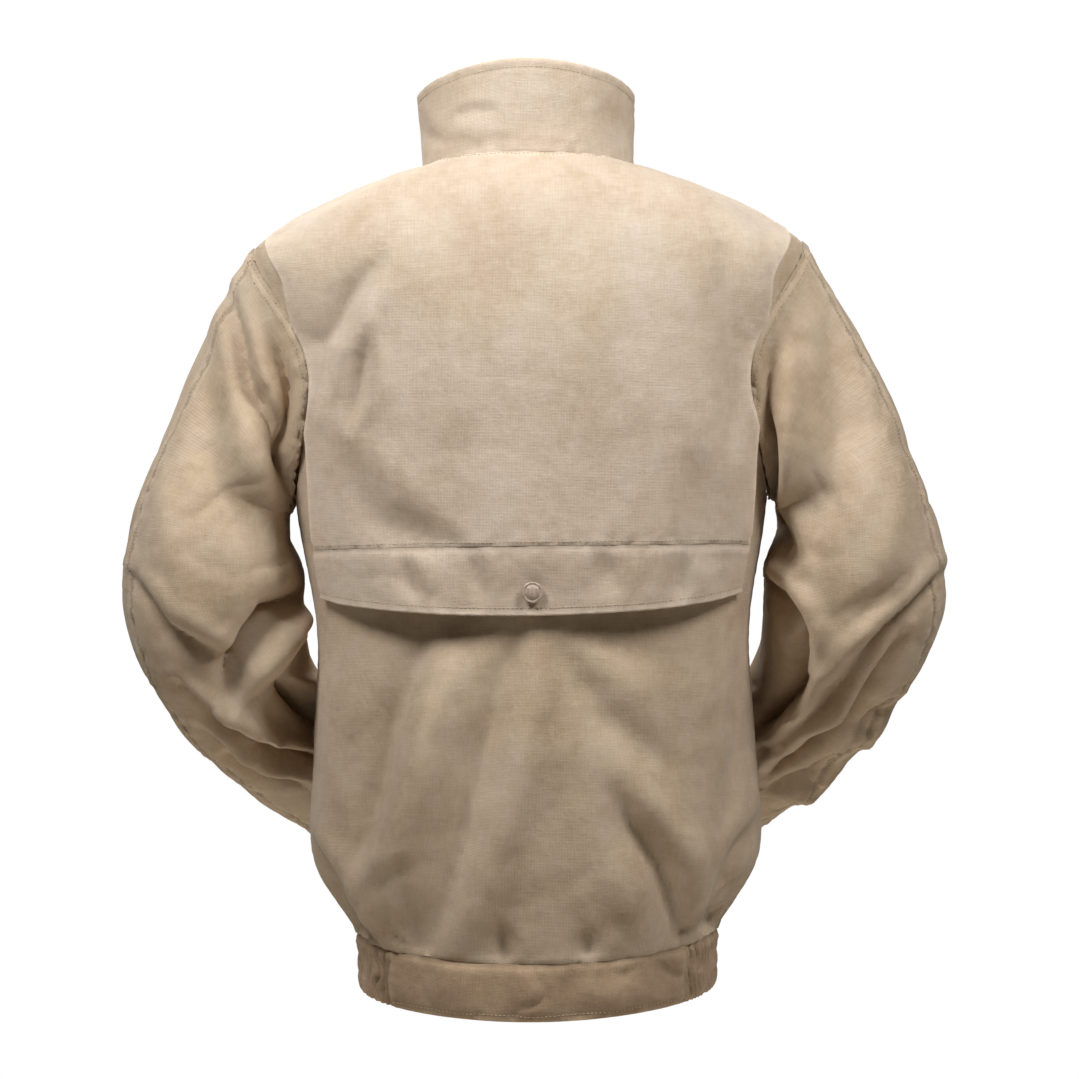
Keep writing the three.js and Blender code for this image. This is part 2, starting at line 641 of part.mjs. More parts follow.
function addWaistband() {
  const edge = 0.15;
  const end = BACK_BAND_END - edge;
  add("waistband_back", bandSheet(-end, end, 0, BAND_CLOTH, BAND_TOP, HEM, 14), band);
  for (const [side, name] of [[1, "left"], [-1, "right"]]) {
    add(`waistband_side_${name}`, casing(side), band);
    const from = side * (BACK_BAND_END + 1);
    const to = side * (SIDE_BAND_END - 1);
    add(`elastic_${name}`, bandSheet(from, to, 0, 2.8, BAND_TOP + 0.008, HEM - 0.008, 11), elastic);
    const frontEnd = 180 - (FRONT_EDGE / WAIST_HALF_WIDTH) * (180 / Math.PI);
    const start = side * (SIDE_BAND_END + edge);
    const front = bandSheet(start, side * frontEnd, 0, BAND_CLOTH, BAND_TOP, HEM, 9);
    add(`waistband_front_${name}`, front, band);
  }
}

// ---- Zip, in a frame whose +Z runs up the front line and whose -Y points out ----

const zipTop = COLLAR_HEIGHT - FRONT_NECK_DROP;
const zipBottom = bodySurface(Math.PI, HEM).z;
const ZIP_LENGTH = (zipTop - zipBottom) * Math.hypot(1, FRONT_SLOPE);
const zipFrame = new THREE.Group();
zipFrame.position.set(0, frontLine(zipTop), zipTop);
zipFrame.rotation.x = -Math.atan(FRONT_SLOPE);
jacket.add(zipFrame);

// A bar of the given outline (x, y) along the zip, from one height to another.
function bar(outline, from, to) {
  const shape = new THREE.Shape(outline.map(([x, y]) => new THREE.Vector2(x, y)));
  const options = { depth: to - from, bevelEnabled: false };
  return new THREE.ExtrudeGeometry(shape, options).translate(0, 0, from);
}

const rectangle = (x0, x1, y0, y1) => [[x0, y0], [x1, y0], [x1, y1], [x0, y1]];
const CHAIN_TOP = -6;
const SLIDER_TOP = CHAIN_TOP - 3;
const BAIL_Z = SLIDER_TOP - SLIDER_LENGTH / 2;
const PLATE = 1.3;
const plateIn = CHAIN_THICKNESS / 2 + 0.4;
const plateOut = plateIn + PLATE;
const BAIL_HEIGHT = 4.4;

// Two plates on a web between them, the section of the slider and of the box.
function plates(web, from, to) {
  const half = SLIDER_WIDTH / 2;
  return bar([
    [-half, -plateOut], [half, -plateOut], [half, -plateIn], [web, -plateIn],
    [web, plateIn], [half, plateIn], [half, plateOut], [-half, plateOut],
    [-half, plateIn], [-web, plateIn], [-web, -plateIn], [-half, -plateIn],
  ], from, to);
}

function zipSlider() {
  const body = plates(CHAIN_GAP / 2 - 0.4, SLIDER_TOP - SLIDER_LENGTH, SLIDER_TOP);
  const arch = new THREE.Shape([
    [-4.6, 0.4], [-4.6, -BAIL_HEIGHT], [4.6, -BAIL_HEIGHT], [4.6, 0.4],
    [3.2, 0.4], [3.2, 1.4 - BAIL_HEIGHT], [-3.2, 1.4 - BAIL_HEIGHT], [-3.2, 0.4],
  ].map(([z, y]) => new THREE.Vector2(z, y)));
  const bail = new THREE.ExtrudeGeometry(arch, { depth: 2, bevelEnabled: false })
    .translate(0, 0, -1)
    .rotateY(-Math.PI / 2)
    .translate(0, -plateOut, BAIL_Z);
  return join(body, bail).translate(0, ZIP_DEPTH, 0);
}

// The pull hangs from a bar through the bail; its frame's origin is the bar's axis.
function zipPull() {
  const plate = new THREE.Shape();
  plate.moveTo(-4.2, 1);
  plate.lineTo(4.2, 1);
  plate.lineTo(5.2, -PULL_LENGTH + 5);
  plate.quadraticCurveTo(5, -PULL_LENGTH, 0, -PULL_LENGTH);
  plate.quadraticCurveTo(-5, -PULL_LENGTH, -5.2, -PULL_LENGTH + 5);
  plate.closePath();
  const eye = rectangle(-2, 2, -7.2, -0.8).map(([x, y]) => new THREE.Vector2(x, y));
  plate.holes.push(new THREE.Path(eye));
  return new THREE.ExtrudeGeometry(plate, { depth: 1.4, bevelEnabled: false })
    .translate(0, 0, -0.7)
    .rotateX(Math.PI / 2);
}

const PULL_Y = ZIP_DEPTH - plateOut - 1.5;

function addZip() {
  const inner = CHAIN_GAP / 2;
  const outer = inner + CHAIN_WIDTH;
  const half = CHAIN_THICKNESS / 2;
  const bottom = -ZIP_LENGTH + 12;
  for (const [side, name] of [[1, "left"], [-1, "right"]]) {
    const strip = rectangle(side * inner, side * outer, ZIP_DEPTH - half, ZIP_DEPTH + half);
    add(`zip_chain_${name}`, joined(bar(strip, bottom, CHAIN_TOP)), brass, zipFrame);
    const stop = rectangle(side * inner, side * (outer + 0.3), ZIP_DEPTH - 2, ZIP_DEPTH + 2);
    add(`zip_stop_${name}`, joined(bar(stop, CHAIN_TOP + 0.3, CHAIN_TOP + 4)), brass, zipFrame);
    const tape = [
      [side * (outer + 0.3), ZIP_DEPTH - 0.2], [side * TAPE_EDGE, 3.7],
      [side * TAPE_EDGE, 4.7], [side * (outer + 0.3), ZIP_DEPTH + 0.8],
    ];
    add(`zip_tape_${name}`, joined(bar(tape, -ZIP_LENGTH + 2, CHAIN_TOP - 0.5)), band, zipFrame);
  }
  const box = joined(plates(outer - 0.3, bottom - 9, bottom - 0.3));
  add("zip_box", box.translate(0, ZIP_DEPTH, 0), brass, zipFrame);
  add("zip_slider", zipSlider(), brass, zipFrame);
  const pull = add("zip_pull", joined(zipPull()), brass, zipFrame);
  pull.position.set(0, PULL_Y, BAIL_Z);
  const guard = rectangle(-14, 22, 5.2, 6.7);
  add("zip_guard", joined(bar(guard, -ZIP_LENGTH + 4, CHAIN_TOP - 70)), canvas, zipFrame);
}

addBack();
addFront(1, "left");
addFront(-1, "right");
addCollar();
addSleeve(1, "left");
addSleeve(-1, "right");
addWaistband();
addZip();

export default jacket;
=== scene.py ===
"""Blouson jacket in washed cotton canvas, its cloth made on the pattern surface of the solids.

The wearer faces -Y and the wearer's left is +X. The origin is the middle of the neck
opening. Shapes are worked out in millimetres and written to the meshes in metres.
"""

import math
from itertools import product

import bmesh
import bpy
import numpy as np
from mathutils import Matrix, Vector


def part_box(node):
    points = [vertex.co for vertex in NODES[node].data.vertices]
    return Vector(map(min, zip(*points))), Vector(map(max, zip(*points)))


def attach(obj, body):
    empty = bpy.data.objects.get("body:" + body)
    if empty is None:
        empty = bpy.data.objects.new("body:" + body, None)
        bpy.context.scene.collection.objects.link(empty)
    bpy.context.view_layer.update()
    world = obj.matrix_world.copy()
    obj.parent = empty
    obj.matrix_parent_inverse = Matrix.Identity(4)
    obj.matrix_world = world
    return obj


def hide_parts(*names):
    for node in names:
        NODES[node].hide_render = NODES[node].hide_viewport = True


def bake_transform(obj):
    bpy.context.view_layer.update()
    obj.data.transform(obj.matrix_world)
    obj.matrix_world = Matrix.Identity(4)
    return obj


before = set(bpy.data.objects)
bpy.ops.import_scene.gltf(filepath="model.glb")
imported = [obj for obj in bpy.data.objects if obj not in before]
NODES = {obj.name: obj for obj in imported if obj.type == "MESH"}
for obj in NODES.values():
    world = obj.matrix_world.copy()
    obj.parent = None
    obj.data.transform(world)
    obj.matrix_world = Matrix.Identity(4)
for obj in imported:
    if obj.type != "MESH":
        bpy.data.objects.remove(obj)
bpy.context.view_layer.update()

MM = 0.001

# ---------------------------------------------------------------- sizes, in millimetres

BACK_LENGTH = 634
NECK_HALF_WIDTH = 84
FRONT_TOP_Y = -95
FRONT_SLOPE = 0.08
FRONT_NECK_DROP = 60
COLLAR_HEIGHT = 73
# The neck seam drops and the collar's top edge falls at the sides; the solids do neither.
NECK_SIDE_DROP = 7
COLLAR_SIDE_FALL = 13
SQUARENESS = 0.06
# Sections from the neck seam down: half width, back, and heights at back, side and front.
SECTIONS = np.array([
    [84, 72, 0, -2, -60],
    [139.2, 98, -24, -26, -84],
    [192, 112, -55, -52, -112],
    [222, 119, -98, -80, -145],
    [206, 124, -155, -145, -190],
    [194, 126, -220, -215, -245],
    [185, 125, -290, -290, -305],
    [172, 122, -375, -375, -378],
    [176, 121, -468, -468, -468],
    [178, 119, -555, -555, -553],
    [144, 104, -634, -618, -614],
    [141, 102, -677, -661, -657],
], float)
HEM = 1.1
ARMHOLE_TOP = 0.27
ARMHOLE_BOTTOM = 0.58
ARMHOLE_ANGLE = math.radians(37)
CAPE_START = 0.004  # nearer the neck seam than its solid, which starts at 0.014
CAPE_CORNER = 0.18
CAPE_WAIST = 0.33
CAPE_SLEEVE_GAP = math.radians(1.6)
CAPE_FOLD = 0.622
CAPE_END = 0.678
CAPE_STAND_OFF = 6.6
CAPE_BULGE = 3
FLAP_HALF_WIDTH = 110
SNAP_WAY = 0.664
FRONT_EDGE = 7
FACING_START = 18.5
# Stations down the arm: middle of the sleeve, then half width and half depth.
ARM = np.array([
    [205, 0, -165, 60, 74],
    [250, 0, -262, 57, 78],
    [257, -4, -342, 72, 80],
    [241, -52, -413, 61, 68],
    [205, -112, -466, 53, 58],
    [160, -158, -508, 47, 45],
], float)
FIRST_RING = 0.2
SLEEVE_HEAD = 6  # how far the top of the sleeve stands past its solid
HIND_SEAM = 30
UNDER_SEAM = 200
CUFF_LENGTH = 55
TAB_START = -105
TAB_SWEEP = 62 / 47 * 180 / math.pi
TAB_WIDTH = 26
BACK_BAND_END = 50
SIDE_BAND_END = 112
CANVAS_THICKNESS = 1.0
STITCH_LENGTH = 2.5
STITCH_PITCH = 3.3
THREAD_RADIUS = 0.34
FOLD_STRENGTH = 2.1

# ---------------------------------------------------------------- curves and noise


def smooth(t):
    """Eases from 0 to 1 as t does."""
    t = np.clip(t, 0, 1)
    return t * t * (3 - 2 * t)


def mix(a, b, t):
    return a + (b - a) * t


def catmull(points, share):
    """A smooth curve through rows of points, read at shares from 0 to 1."""
    points = np.asarray(points, float)
    padded = np.vstack([2 * points[0] - points[1], points, 2 * points[-1] - points[-2]])
    place = np.clip(share, 0, 1) * (len(points) - 1)
    first = np.minimum(np.asarray(place).astype(int), len(points) - 2)
    t = (place - first)[..., None]
    p0, p1, p2, p3 = (padded[first + k] for k in range(4))
    leave = (p2 - p0) / 2
    arrive = (p3 - p1) / 2
    cubic = 2 * p1 - 2 * p2 + leave + arrive
    return p1 + leave * t + (3 * p2 - 3 * p1 - 2 * leave - arrive) * t**2 + cubic * t**3


def unit(v):
    return v / np.maximum(np.linalg.norm(v, axis=-1, keepdims=True), 1e-9)


slopes = unit(np.random.default_rng(11).normal(size=(512, 3)))


def lumps(points, size, seed=0):
    """Smooth noise from about -0.7 to 0.7, whose lumps are about size across."""
    q = np.asarray(points, float) / size + seed * 13.37
    cell = np.floor(q).astype(np.int64)
    f = q - cell
    ease = f**3 * (f * (f * 6 - 15) + 10)
    total = np.zeros(q.shape[:-1])
    for corner in product((0, 1), repeat=3):
        corner = np.array(corner)
        at = cell + corner
        pick = (at[..., 0] * 73856093) ^ (at[..., 1] * 19349663) ^ (at[..., 2] * 83492791)
        slope = slopes[np.abs(pick) % len(slopes)]
        weight = np.prod(np.where(corner, ease, 1 - ease), -1)
        total += weight * np.sum(slope * (f - corner), -1)
    return total


def creased(points, size, seed=0):
    """Noise with narrow valleys, from about -1 to 0.4, as in cloth that was crushed."""
    return 0.4 - 1.4 * np.exp(-np.abs(lumps(points, size, seed)) * 9)


# ---------------------------------------------------------------- the body's surface


def front_line(z):
    return FRONT_TOP_Y - FRONT_SLOPE * (COLLAR_HEIGHT - FRONT_NECK_DROP - z)


def body_surface(angle, way):
    """Points of the body: angle 0 is the centre back, a quarter turn the wearer's left."""
    angle, way = np.broadcast_arrays(np.asarray(angle, float), np.asarray(way, float))
    section = catmull(SECTIONS, np.clip(way / HEM, 0, 1))
    half_width, back, z_back, z_side, z_front = np.moveaxis(section, -1, 0)
    front = front_line(z_front)
    fuller = 1 + SQUARENESS * np.sin(2 * angle) ** 2
    c = np.cos(angle)
    z = z_side + (np.where(c > 0, z_back, z_front) - z_side) * c**2
    z = z - NECK_SIDE_DROP * np.sin(angle) ** 2 * (1 - smooth(way / 0.09))
    x = half_width * np.sin(angle) * fuller
    y = (back + front) / 2 + (back - front) / 2 * c * fuller
    return np.stack([x, y, z], -1)


def body_at(angle, way, out=0.0):
    step = 1e-3
    across = body_surface(angle + step, way) - body_surface(angle - step, way)
    along = body_surface(angle, way + step) - body_surface(angle, np.maximum(way - step, 0))
    normal = unit(np.cross(across, along))
    return body_surface(angle, way) + normal * np.asarray(out)[..., None]


def armhole_reach(way):
    share = np.clip((way - ARMHOLE_TOP) / (ARMHOLE_BOTTOM - ARMHOLE_TOP), 0, 1)
    return ARMHOLE_ANGLE * np.sqrt(np.sin(np.pi * share))


def back_edge(way):
    return np.pi / 2 - armhole_reach(way)


def cape_edge(way):
    """The cape's free edge: out to the shoulder's corner, then down beside the armhole."""
    corner = mix(86, 52, smooth((way - CAPE_CORNER) / (CAPE_WAIST - CAPE_CORNER)))
    below = np.clip((way - CAPE_WAIST) / (CAPE_END - CAPE_WAIST), 0, 1)
    return np.minimum(back_edge(way) - CAPE_SLEEVE_GAP, np.radians(mix(corner, 62, below)))


def tucked(way):
    """How much further a panel goes on underneath the sleeve, as an angle."""
    return 0.05 * smooth(armhole_reach(way) / 0.2)


def back_seam(way):
    return back_edge(way) + tucked(way)


def cape_out(way):
    bulge = CAPE_BULGE * np.sin(np.pi * np.clip(way / CAPE_FOLD, 0, 1)) ** 2
    return mix(2.7, CAPE_STAND_OFF, smooth(way / 0.16)) + bulge


def ways_between(start, end, step):
    """Ways down the body, closer together where the armhole begins and ends."""
    rows = max(2, int(round((end - start) * BACK_LENGTH / step)))
    ways = [np.linspace(start, end, rows + 1)]
    for corner, turn in ((ARMHOLE_TOP, 1), (ARMHOLE_BOTTOM, -1)):
        ways.append(corner + turn * np.array([0, 0.0005, 0.0015, 0.003, 0.005]))
    ways = np.unique(np.round(np.concatenate(ways), 5))
    ways = ways[(ways >= start) & (ways <= end)]
    far = np.append(True, np.diff(ways) > 0.0004)
    return ways[far]


def body_grid(edge, ways, columns, out=0.0, from_edge=None):
    """Grid of points between two angles that depend on the way down."""
    start = -edge(ways) if from_edge is None else from_edge(ways)
    share = np.linspace(0, 1, columns + 1)
    angle = start[:, None] + (edge(ways) - start)[:, None] * share[None, :]
    way = np.repeat(ways[:, None], columns + 1, 1)
    out = np.broadcast_to(np.asarray(out, float).reshape(-1, 1), way.shape)
    return body_at(angle, way, out)


# ---------------------------------------------------------------- the sleeve's surface


def arm_frame(way):
    t = np.clip(way, 0.001, 0.999)
    along = unit(catmull(ARM[:, :3], t + 1e-4) - catmull(ARM[:, :3], t - 1e-4))
    back = unit(np.array([0.0, 1.0, 0.0]) - along * along[..., 1:2])
    return along, back, np.cross(along, back)


def sleeve_ring(angle, way, out=0.0):
    _, back, outward = arm_frame(way)
    size = catmull(ARM[:, 3:], np.clip(way, 0, 1))
    middle = catmull(ARM[:, :3], np.clip(way, 0, 1))
    wide = (np.cos(angle) * (size[..., 0] + out))[..., None]
    deep = (np.sin(angle) * (size[..., 1] + out))[..., None]
    return middle + outward * wide + back * deep


def armhole_line(angle, out):
    share = (1 - np.cos(angle)) / 2
    way = mix(ARMHOLE_TOP, ARMHOLE_BOTTOM, share)
    reach = ARMHOLE_ANGLE * np.sqrt(np.maximum(np.sin(np.pi * share), 0))
    round_body = np.pi / 2 - np.sign(np.sin(angle)) * reach
    return body_at(round_body, way, np.full(np.shape(way), float(out)))


def sleeve_at(angle, way):
    angle, way = np.broadcast_arrays(np.asarray(angle, float), np.asarray(way, float))
    ring = sleeve_ring(angle, np.maximum(way, FIRST_RING), 1.0)
    edge = armhole_line(angle, 2.4)
    share = np.clip(way / FIRST_RING, 0, 1)[..., None]
    head = SLEEVE_HEAD * np.sin(np.pi * share) ** 0.8 * np.clip(np.cos(angle), 0, 1)[..., None]
    return mix(edge, ring, share) + head * np.array([0.8, 0, 0.6])


def cuff_at(side, angle, length, out):
    along, _, _ = arm_frame(np.ones(np.shape(angle)))
    point = sleeve_ring(angle, np.ones(np.shape(angle)), out) + along * length[..., None]
    return point * np.array([side, 1.0, 1.0])


# ---------------------------------------------------------------- folds
# Each fold: its line as (x, z) points, its width, its depth (minus is a valley), how soft
# its bottom is, and the height of the ridge beside it as a share of the depth.

BACK_FOLDS = [
    # cape
    ([(118, -86), (161, -148), (165, -191)], 13, -5.5, 0.4, 0.5),
    ([(126, -144), (141, -211)], 11, -4, 0.4, 0.4),
    ([(-150, -70), (-164, -150), (-158, -235)], 13, -3.5, 0.6, 0.3),
    ([(-128, -235), (-143, -330)], 15, -3, 0.9, 0.3),
    ([(150, -235), (118, -285), (60, -312)], 17, -3.5, 0.9, 0.4),
    ([(96, -40), (60, -130), (70, -230)], 34, 2.6, 1.2, 0),
    ([(-60, -50), (-42, -160), (-70, -260)], 38, 2.4, 1.2, 0),
    # hem of the cape
    ([(45, -316), (38, -350)], 8, -1.8, 0.5, 0.5),
    ([(100, -318), (88, -350)], 9, -2, 0.5, 0.5),
    ([(-52, -314), (-64, -350)], 9, -1.8, 0.5, 0.5),
    ([(-120, -316), (-112, -350)], 9, -1.8, 0.5, 0.5),
    # lower back
    ([(90, -380), (124, -470), (148, -570)], 19, -9, 0.45, 0.4),
    ([(14, -380), (46, -480), (64, -546), (90, -625)], 19, -8, 0.4, 0.6),
    ([(60, -390), (90, -500), (112, -600)], 17, 5.5, 0.7, 0),
    ([(-20, -385), (-52, -440), (-104, -480)], 16, -4, 0.6, 0.4),
    ([(-160, -400), (-168, -470), (-150, -540)], 16, -5, 0.6, 0.4),
    ([(138, -590), (118, -565), (92, -552)], 9, -2.6, 0.5, 0.5),
    ([(100, -625), (116, -590), (120, -570)], 9, -3, 0.5, 0.5),
    ([(-62, -500), (-100, -565), (-117, -622)], 14, -8.5, 0.5, 0.45),
    ([(-56, -540), (-84, -610)], 15, 3.5, 0.9, 0),
    ([(-186, -515), (-156, -575), (-126, -626)], 11, -7, 0.4, 0.5),
    ([(188, -535), (160, -585), (126, -620)], 11, -7, 0.4, 0.5),
    ([(-95, -395), (-118, -470), (-150, -545)], 28, -4, 1.0, 0.2),
    ([(-10, -470), (-14, -560), (-2, -625)], 32, -3, 1.2, 0),
    ([(30, -600), (22, -636)], 9, -3, 0.5, 0.4),
    ([(-36, -604), (-40, -634)], 9, -3, 0.5, 0.4),
    ([(-150, -600), (-132, -624)], 7, -3.5, 0.4, 0.4),
    ([(150, -600), (134, -624)], 7, -3.5, 0.4, 0.4),
]
LEFT_SLEEVE_FOLDS = [
    ([(205, -112), (192, -180), (184, -275)], 11, -13, 0.2, 0.3),
    ([(240, -104), (222, -180), (180, -270)], 11, -9, 0.2, 0.5),
    ([(258, -140), (254, -230), (214, -318)], 18, -6, 0.5, 0.4),
    ([(176, -342), (206, -358), (250, -420)], 10, -15, 0.12, 0.6),
    ([(252, -410), (206, -464)], 11, 7, 0.3, 0),
    ([(284, -414), (250, -444), (212, -470)], 8, -11, 0.12, 0.7),
    ([(254, -476), (222, -496), (190, -505)], 7, -8, 0.15, 0.6),
    ([(220, -468), (168, -484)], 7, -9, 0.15, 0.6),
    ([(272, -450), (240, -480)], 6, -6, 0.2, 0.6),
    ([(204, -414), (172, -452)], 8, -10, 0.15, 0.5),
    ([(318, -330), (290, -372), (236, -398)], 11, -7, 0.2, 0.6),
    ([(290, -250), (276, -330), (256, -372)], 20, 4, 0.8, 0),
]
RIGHT_SLEEVE_FOLDS = [
    ([(-190, -150), (-184, -215), (-188, -300)], 10, -12, 0.2, 0.3),
    ([(-172, -170), (-180, -257), (-204, -320)], 10, -9, 0.2, 0.5),
    ([(-236, -130), (-246, -215), (-222, -305)], 18, -6, 0.5, 0.4),
    ([(-296, -384), (-254, -452), (-190, -500)], 10, -15, 0.12, -0.6),
    ([(-326, -334), (-282, -376), (-250, -418), (-208, -460)], 11, -10, 0.2, -0.6),
    ([(-176, -326), (-208, -382), (-206, -434)], 10, -11, 0.15, 0.5),
    ([(-220, -412), (-176, -464)], 8, -10, 0.15, 0.6),
    ([(-266, -478), (-226, -504), (-190, -509)], 7, -8, 0.15, 0.6),
    ([(-300, -330), (-250, -372)], 12, -7, 0.25, 0.5),
    ([(-290, -250), (-272, -330), (-242, -372)], 20, 4, 0.8, 0),
    ([(-294, -436), (-260, -472)], 7, -6, 0.2, 0.6),
]
FRONT_FOLDS = [
    ([(200, -300), (232, -352), (286, -372)], 13, -9, 0.35, 0.5),
    ([(196, -340), (226, -390), (270, -408)], 12, -8, 0.35, 0.5),
    ([(-200, -296), (-236, -350), (-284, -366)], 13, -9, 0.35, 0.5),
    ([(-194, -344), (-224, -388), (-268, -412)], 12, -8, 0.35, 0.5),
    ([(150, -120), (130, -200), (140, -290)], 22, -5, 0.8, 0.3),
    ([(-150, -125), (-126, -205), (-142, -300)], 22, -5, 0.8, 0.3),
    ([(60, -120), (84, -230), (70, -350)], 30, 3, 1.1, 0),
    ([(-66, -110), (-82, -220), (-60, -330)], 30, 3, 1.1, 0),
    ([(100, -540), (86, -585), (92, -616)], 13, -7, 0.5, 0.4),
    ([(-94, -530), (-88, -580), (-98, -616)], 13, -7, 0.5, 0.4),
    ([(40, -560), (46, -616)], 10, -5, 0.5, 0.4),
    ([(-42, -556), (-38, -616)], 10, -5, 0.5, 0.4),
    ([(180, -520), (156, -580), (140, -618)], 11, -6, 0.4, 0.5),
    ([(-180, -520), (-156, -580), (-140, -618)], 11, -6, 0.4, 0.5),
    ([(165, -300), (150, -360), (120, -400)], 16, -5, 0.6, 0.4),
    ([(-165, -304), (-150, -364), (-118, -402)], 16, -5, 0.6, 0.4),
]


def fold_height(x, z, line, width, depth, soft, ridge):
    """Height of one fold at each point, tapering out at both its ends."""
    line = np.array(line, float)
    lengths = np.linalg.norm(np.diff(line, axis=0), axis=1)
    starts = np.append(0, np.cumsum(lengths))
    nearest = np.full(x.shape, 1e9)
    share = np.zeros(x.shape)
    side = np.ones(x.shape)
    for k, length in enumerate(lengths):
        dx, dz = (line[k + 1] - line[k]) / length
        along = np.clip((x - line[k, 0]) * dx + (z - line[k, 1]) * dz, 0, length)
        off_x = x - line[k, 0] - along * dx
        off_z = z - line[k, 1] - along * dz
        distance = np.hypot(off_x, off_z)
        closer = distance < nearest
        nearest = np.where(closer, distance, nearest)
        share = np.where(closer, (starts[k] + along) / starts[-1], share)
        side = np.where(closer, np.sign(off_x * dz - off_z * dx), side)
    taper = np.sin(np.pi * np.clip(share * 0.92 + 0.04, 0, 1)) ** 0.8
    q = nearest / (width * (0.55 + 0.45 * taper))
    height = depth * np.exp(-1.6 * (np.sqrt(q * q + soft * soft) - soft))
    if ridge:
        beside = q * side * np.sign(ridge) - 1.7
        height -= depth * abs(ridge) * np.exp(-(beside**2)) * np.clip(q, 0, 1)
    return height * taper


def relief(points, normals, sleeve=False, crushed=1.0):
    """How far the worn cloth lies off its pattern surface, in millimetres."""
    x = points[..., 0]
    warp = np.stack([lumps(points, 45, k + 3) for k in range(3)], -1)
    moved = points + warp * 5
    mx, mz = moved[..., 0], moved[..., 2]
    facing_back = smooth((normals[..., 1] + 0.25) / 0.5)
    height = lumps(points, 120, 1) * (3.4 if sleeve else 2.6)
    height += lumps(points * np.array([1, 1, 0.55]), 46, 2) * (2.4 if sleeve else 1.3)
    height += creased(moved, 62, 5) * (1.5 if sleeve else 0.8) * crushed
    height += (creased(moved, 27, 6) * 0.3 + lumps(points, 9, 7) * 0.25) * crushed
    if sleeve:
        folds = LEFT_SLEEVE_FOLDS if x.mean() > 0 else RIGHT_SLEEVE_FOLDS
    else:
        folds = BACK_FOLDS
    for fold in folds:
        height += fold_height(mx, mz, *fold) * facing_back * FOLD_STRENGTH
    for fold in FRONT_FOLDS:
        height += fold_height(mx, mz, *fold) * (1 - facing_back)
    if not sleeve:
        height += gathers(points)
    return height


def gathers(points):
    """Small upright folds where the body is drawn in to the elastic at the sides."""
    x, y, z = np.moveaxis(points, -1, 0)
    round_body = np.arctan2(np.abs(x), y)
    beside = smooth((round_body - 0.75) / 0.3) * smooth((2.25 - round_body) / 0.3)
    above = np.exp(-np.maximum(z + 618, 0) / 30) * smooth((z + 640) / 12)
    phase = round_body * 140 / 15 + lumps(points, 30, 12) * 1.8
    wave = np.abs(np.sin(np.pi * phase)) ** 0.6 - 0.7
    return wave * 5.5 * beside * above


# ---------------------------------------------------------------- cloth meshes


def grid_normals(points, heart, closed=False):
    """Directions square to a grid, pointing away from heart, and whether they were turned."""
    across = np.gradient(points, axis=1)
    if closed:
        across[:, 0] = across[:, -1] = points[:, 1] - points[:, -2]
    normals = unit(np.cross(across, np.gradient(points, axis=0)))
    turned = np.sum(normals * (points - heart)) < 0
    return (-normals if turned else normals), turned


def reach_in(points, side):
    """Distance of each point of a grid from one of its edges, along the cloth."""
    axis = 1 if side in ("left", "right") else 0
    steps = np.linalg.norm(np.diff(points, axis=axis), axis=-1)
    far = np.concatenate([np.zeros_like(steps.take([0], axis)), steps.cumsum(axis)], axis)
    if side in ("right", "bottom"):
        far = far.take([-1], axis) - far
    return far


def as_bottom(grid, side):
    """Turns a grid so that the named edge is its last row."""
    if side in ("left", "right"):
        grid = np.swapaxes(grid, 0, 1)
    return grid[::-1] if side in ("top", "left") else grid


def as_before(grid, side):
    grid = grid[::-1] if side in ("top", "left") else grid
    return np.swapaxes(grid, 0, 1) if side in ("left", "right") else grid


def turn_under(points, normals, marks, side, radius, reach):
    """Adds a folded edge: the cloth rolls round and runs back underneath."""
    p = as_bottom(points, side)
    n = as_bottom(normals, side)
    m = as_bottom(marks, side)
    out = p[-1] - p[-2]
    out = unit(out - n[-1] * np.sum(out * n[-1], -1, keepdims=True))
    radius = np.broadcast_to(radius, len(out))[:, None]
    rows_p, rows_n = [], []
    for turn in np.linspace(0, np.pi, 8)[1:]:
        rows_p.append(p[-1] + out * radius * np.sin(turn) - n[-1] * radius * (1 - np.cos(turn)))
        rows_n.append(n[-1] * np.cos(turn) + out * np.sin(turn))
    for back in np.linspace(0, reach, 4)[1:]:
        rows_p.append(p[-1] - out * back - n[-1] * radius * 2)
        rows_n.append(-n[-1])
    edge = np.repeat(m[-1:], len(rows_p), 0)
    edge[:5, :, 1] = 1
    p = np.concatenate([p, np.array(rows_p)])
    n = np.concatenate([n, np.array(rows_n)])
    m = np.concatenate([m, edge])
    return as_before(p, side), as_before(n, side), as_before(m, side)


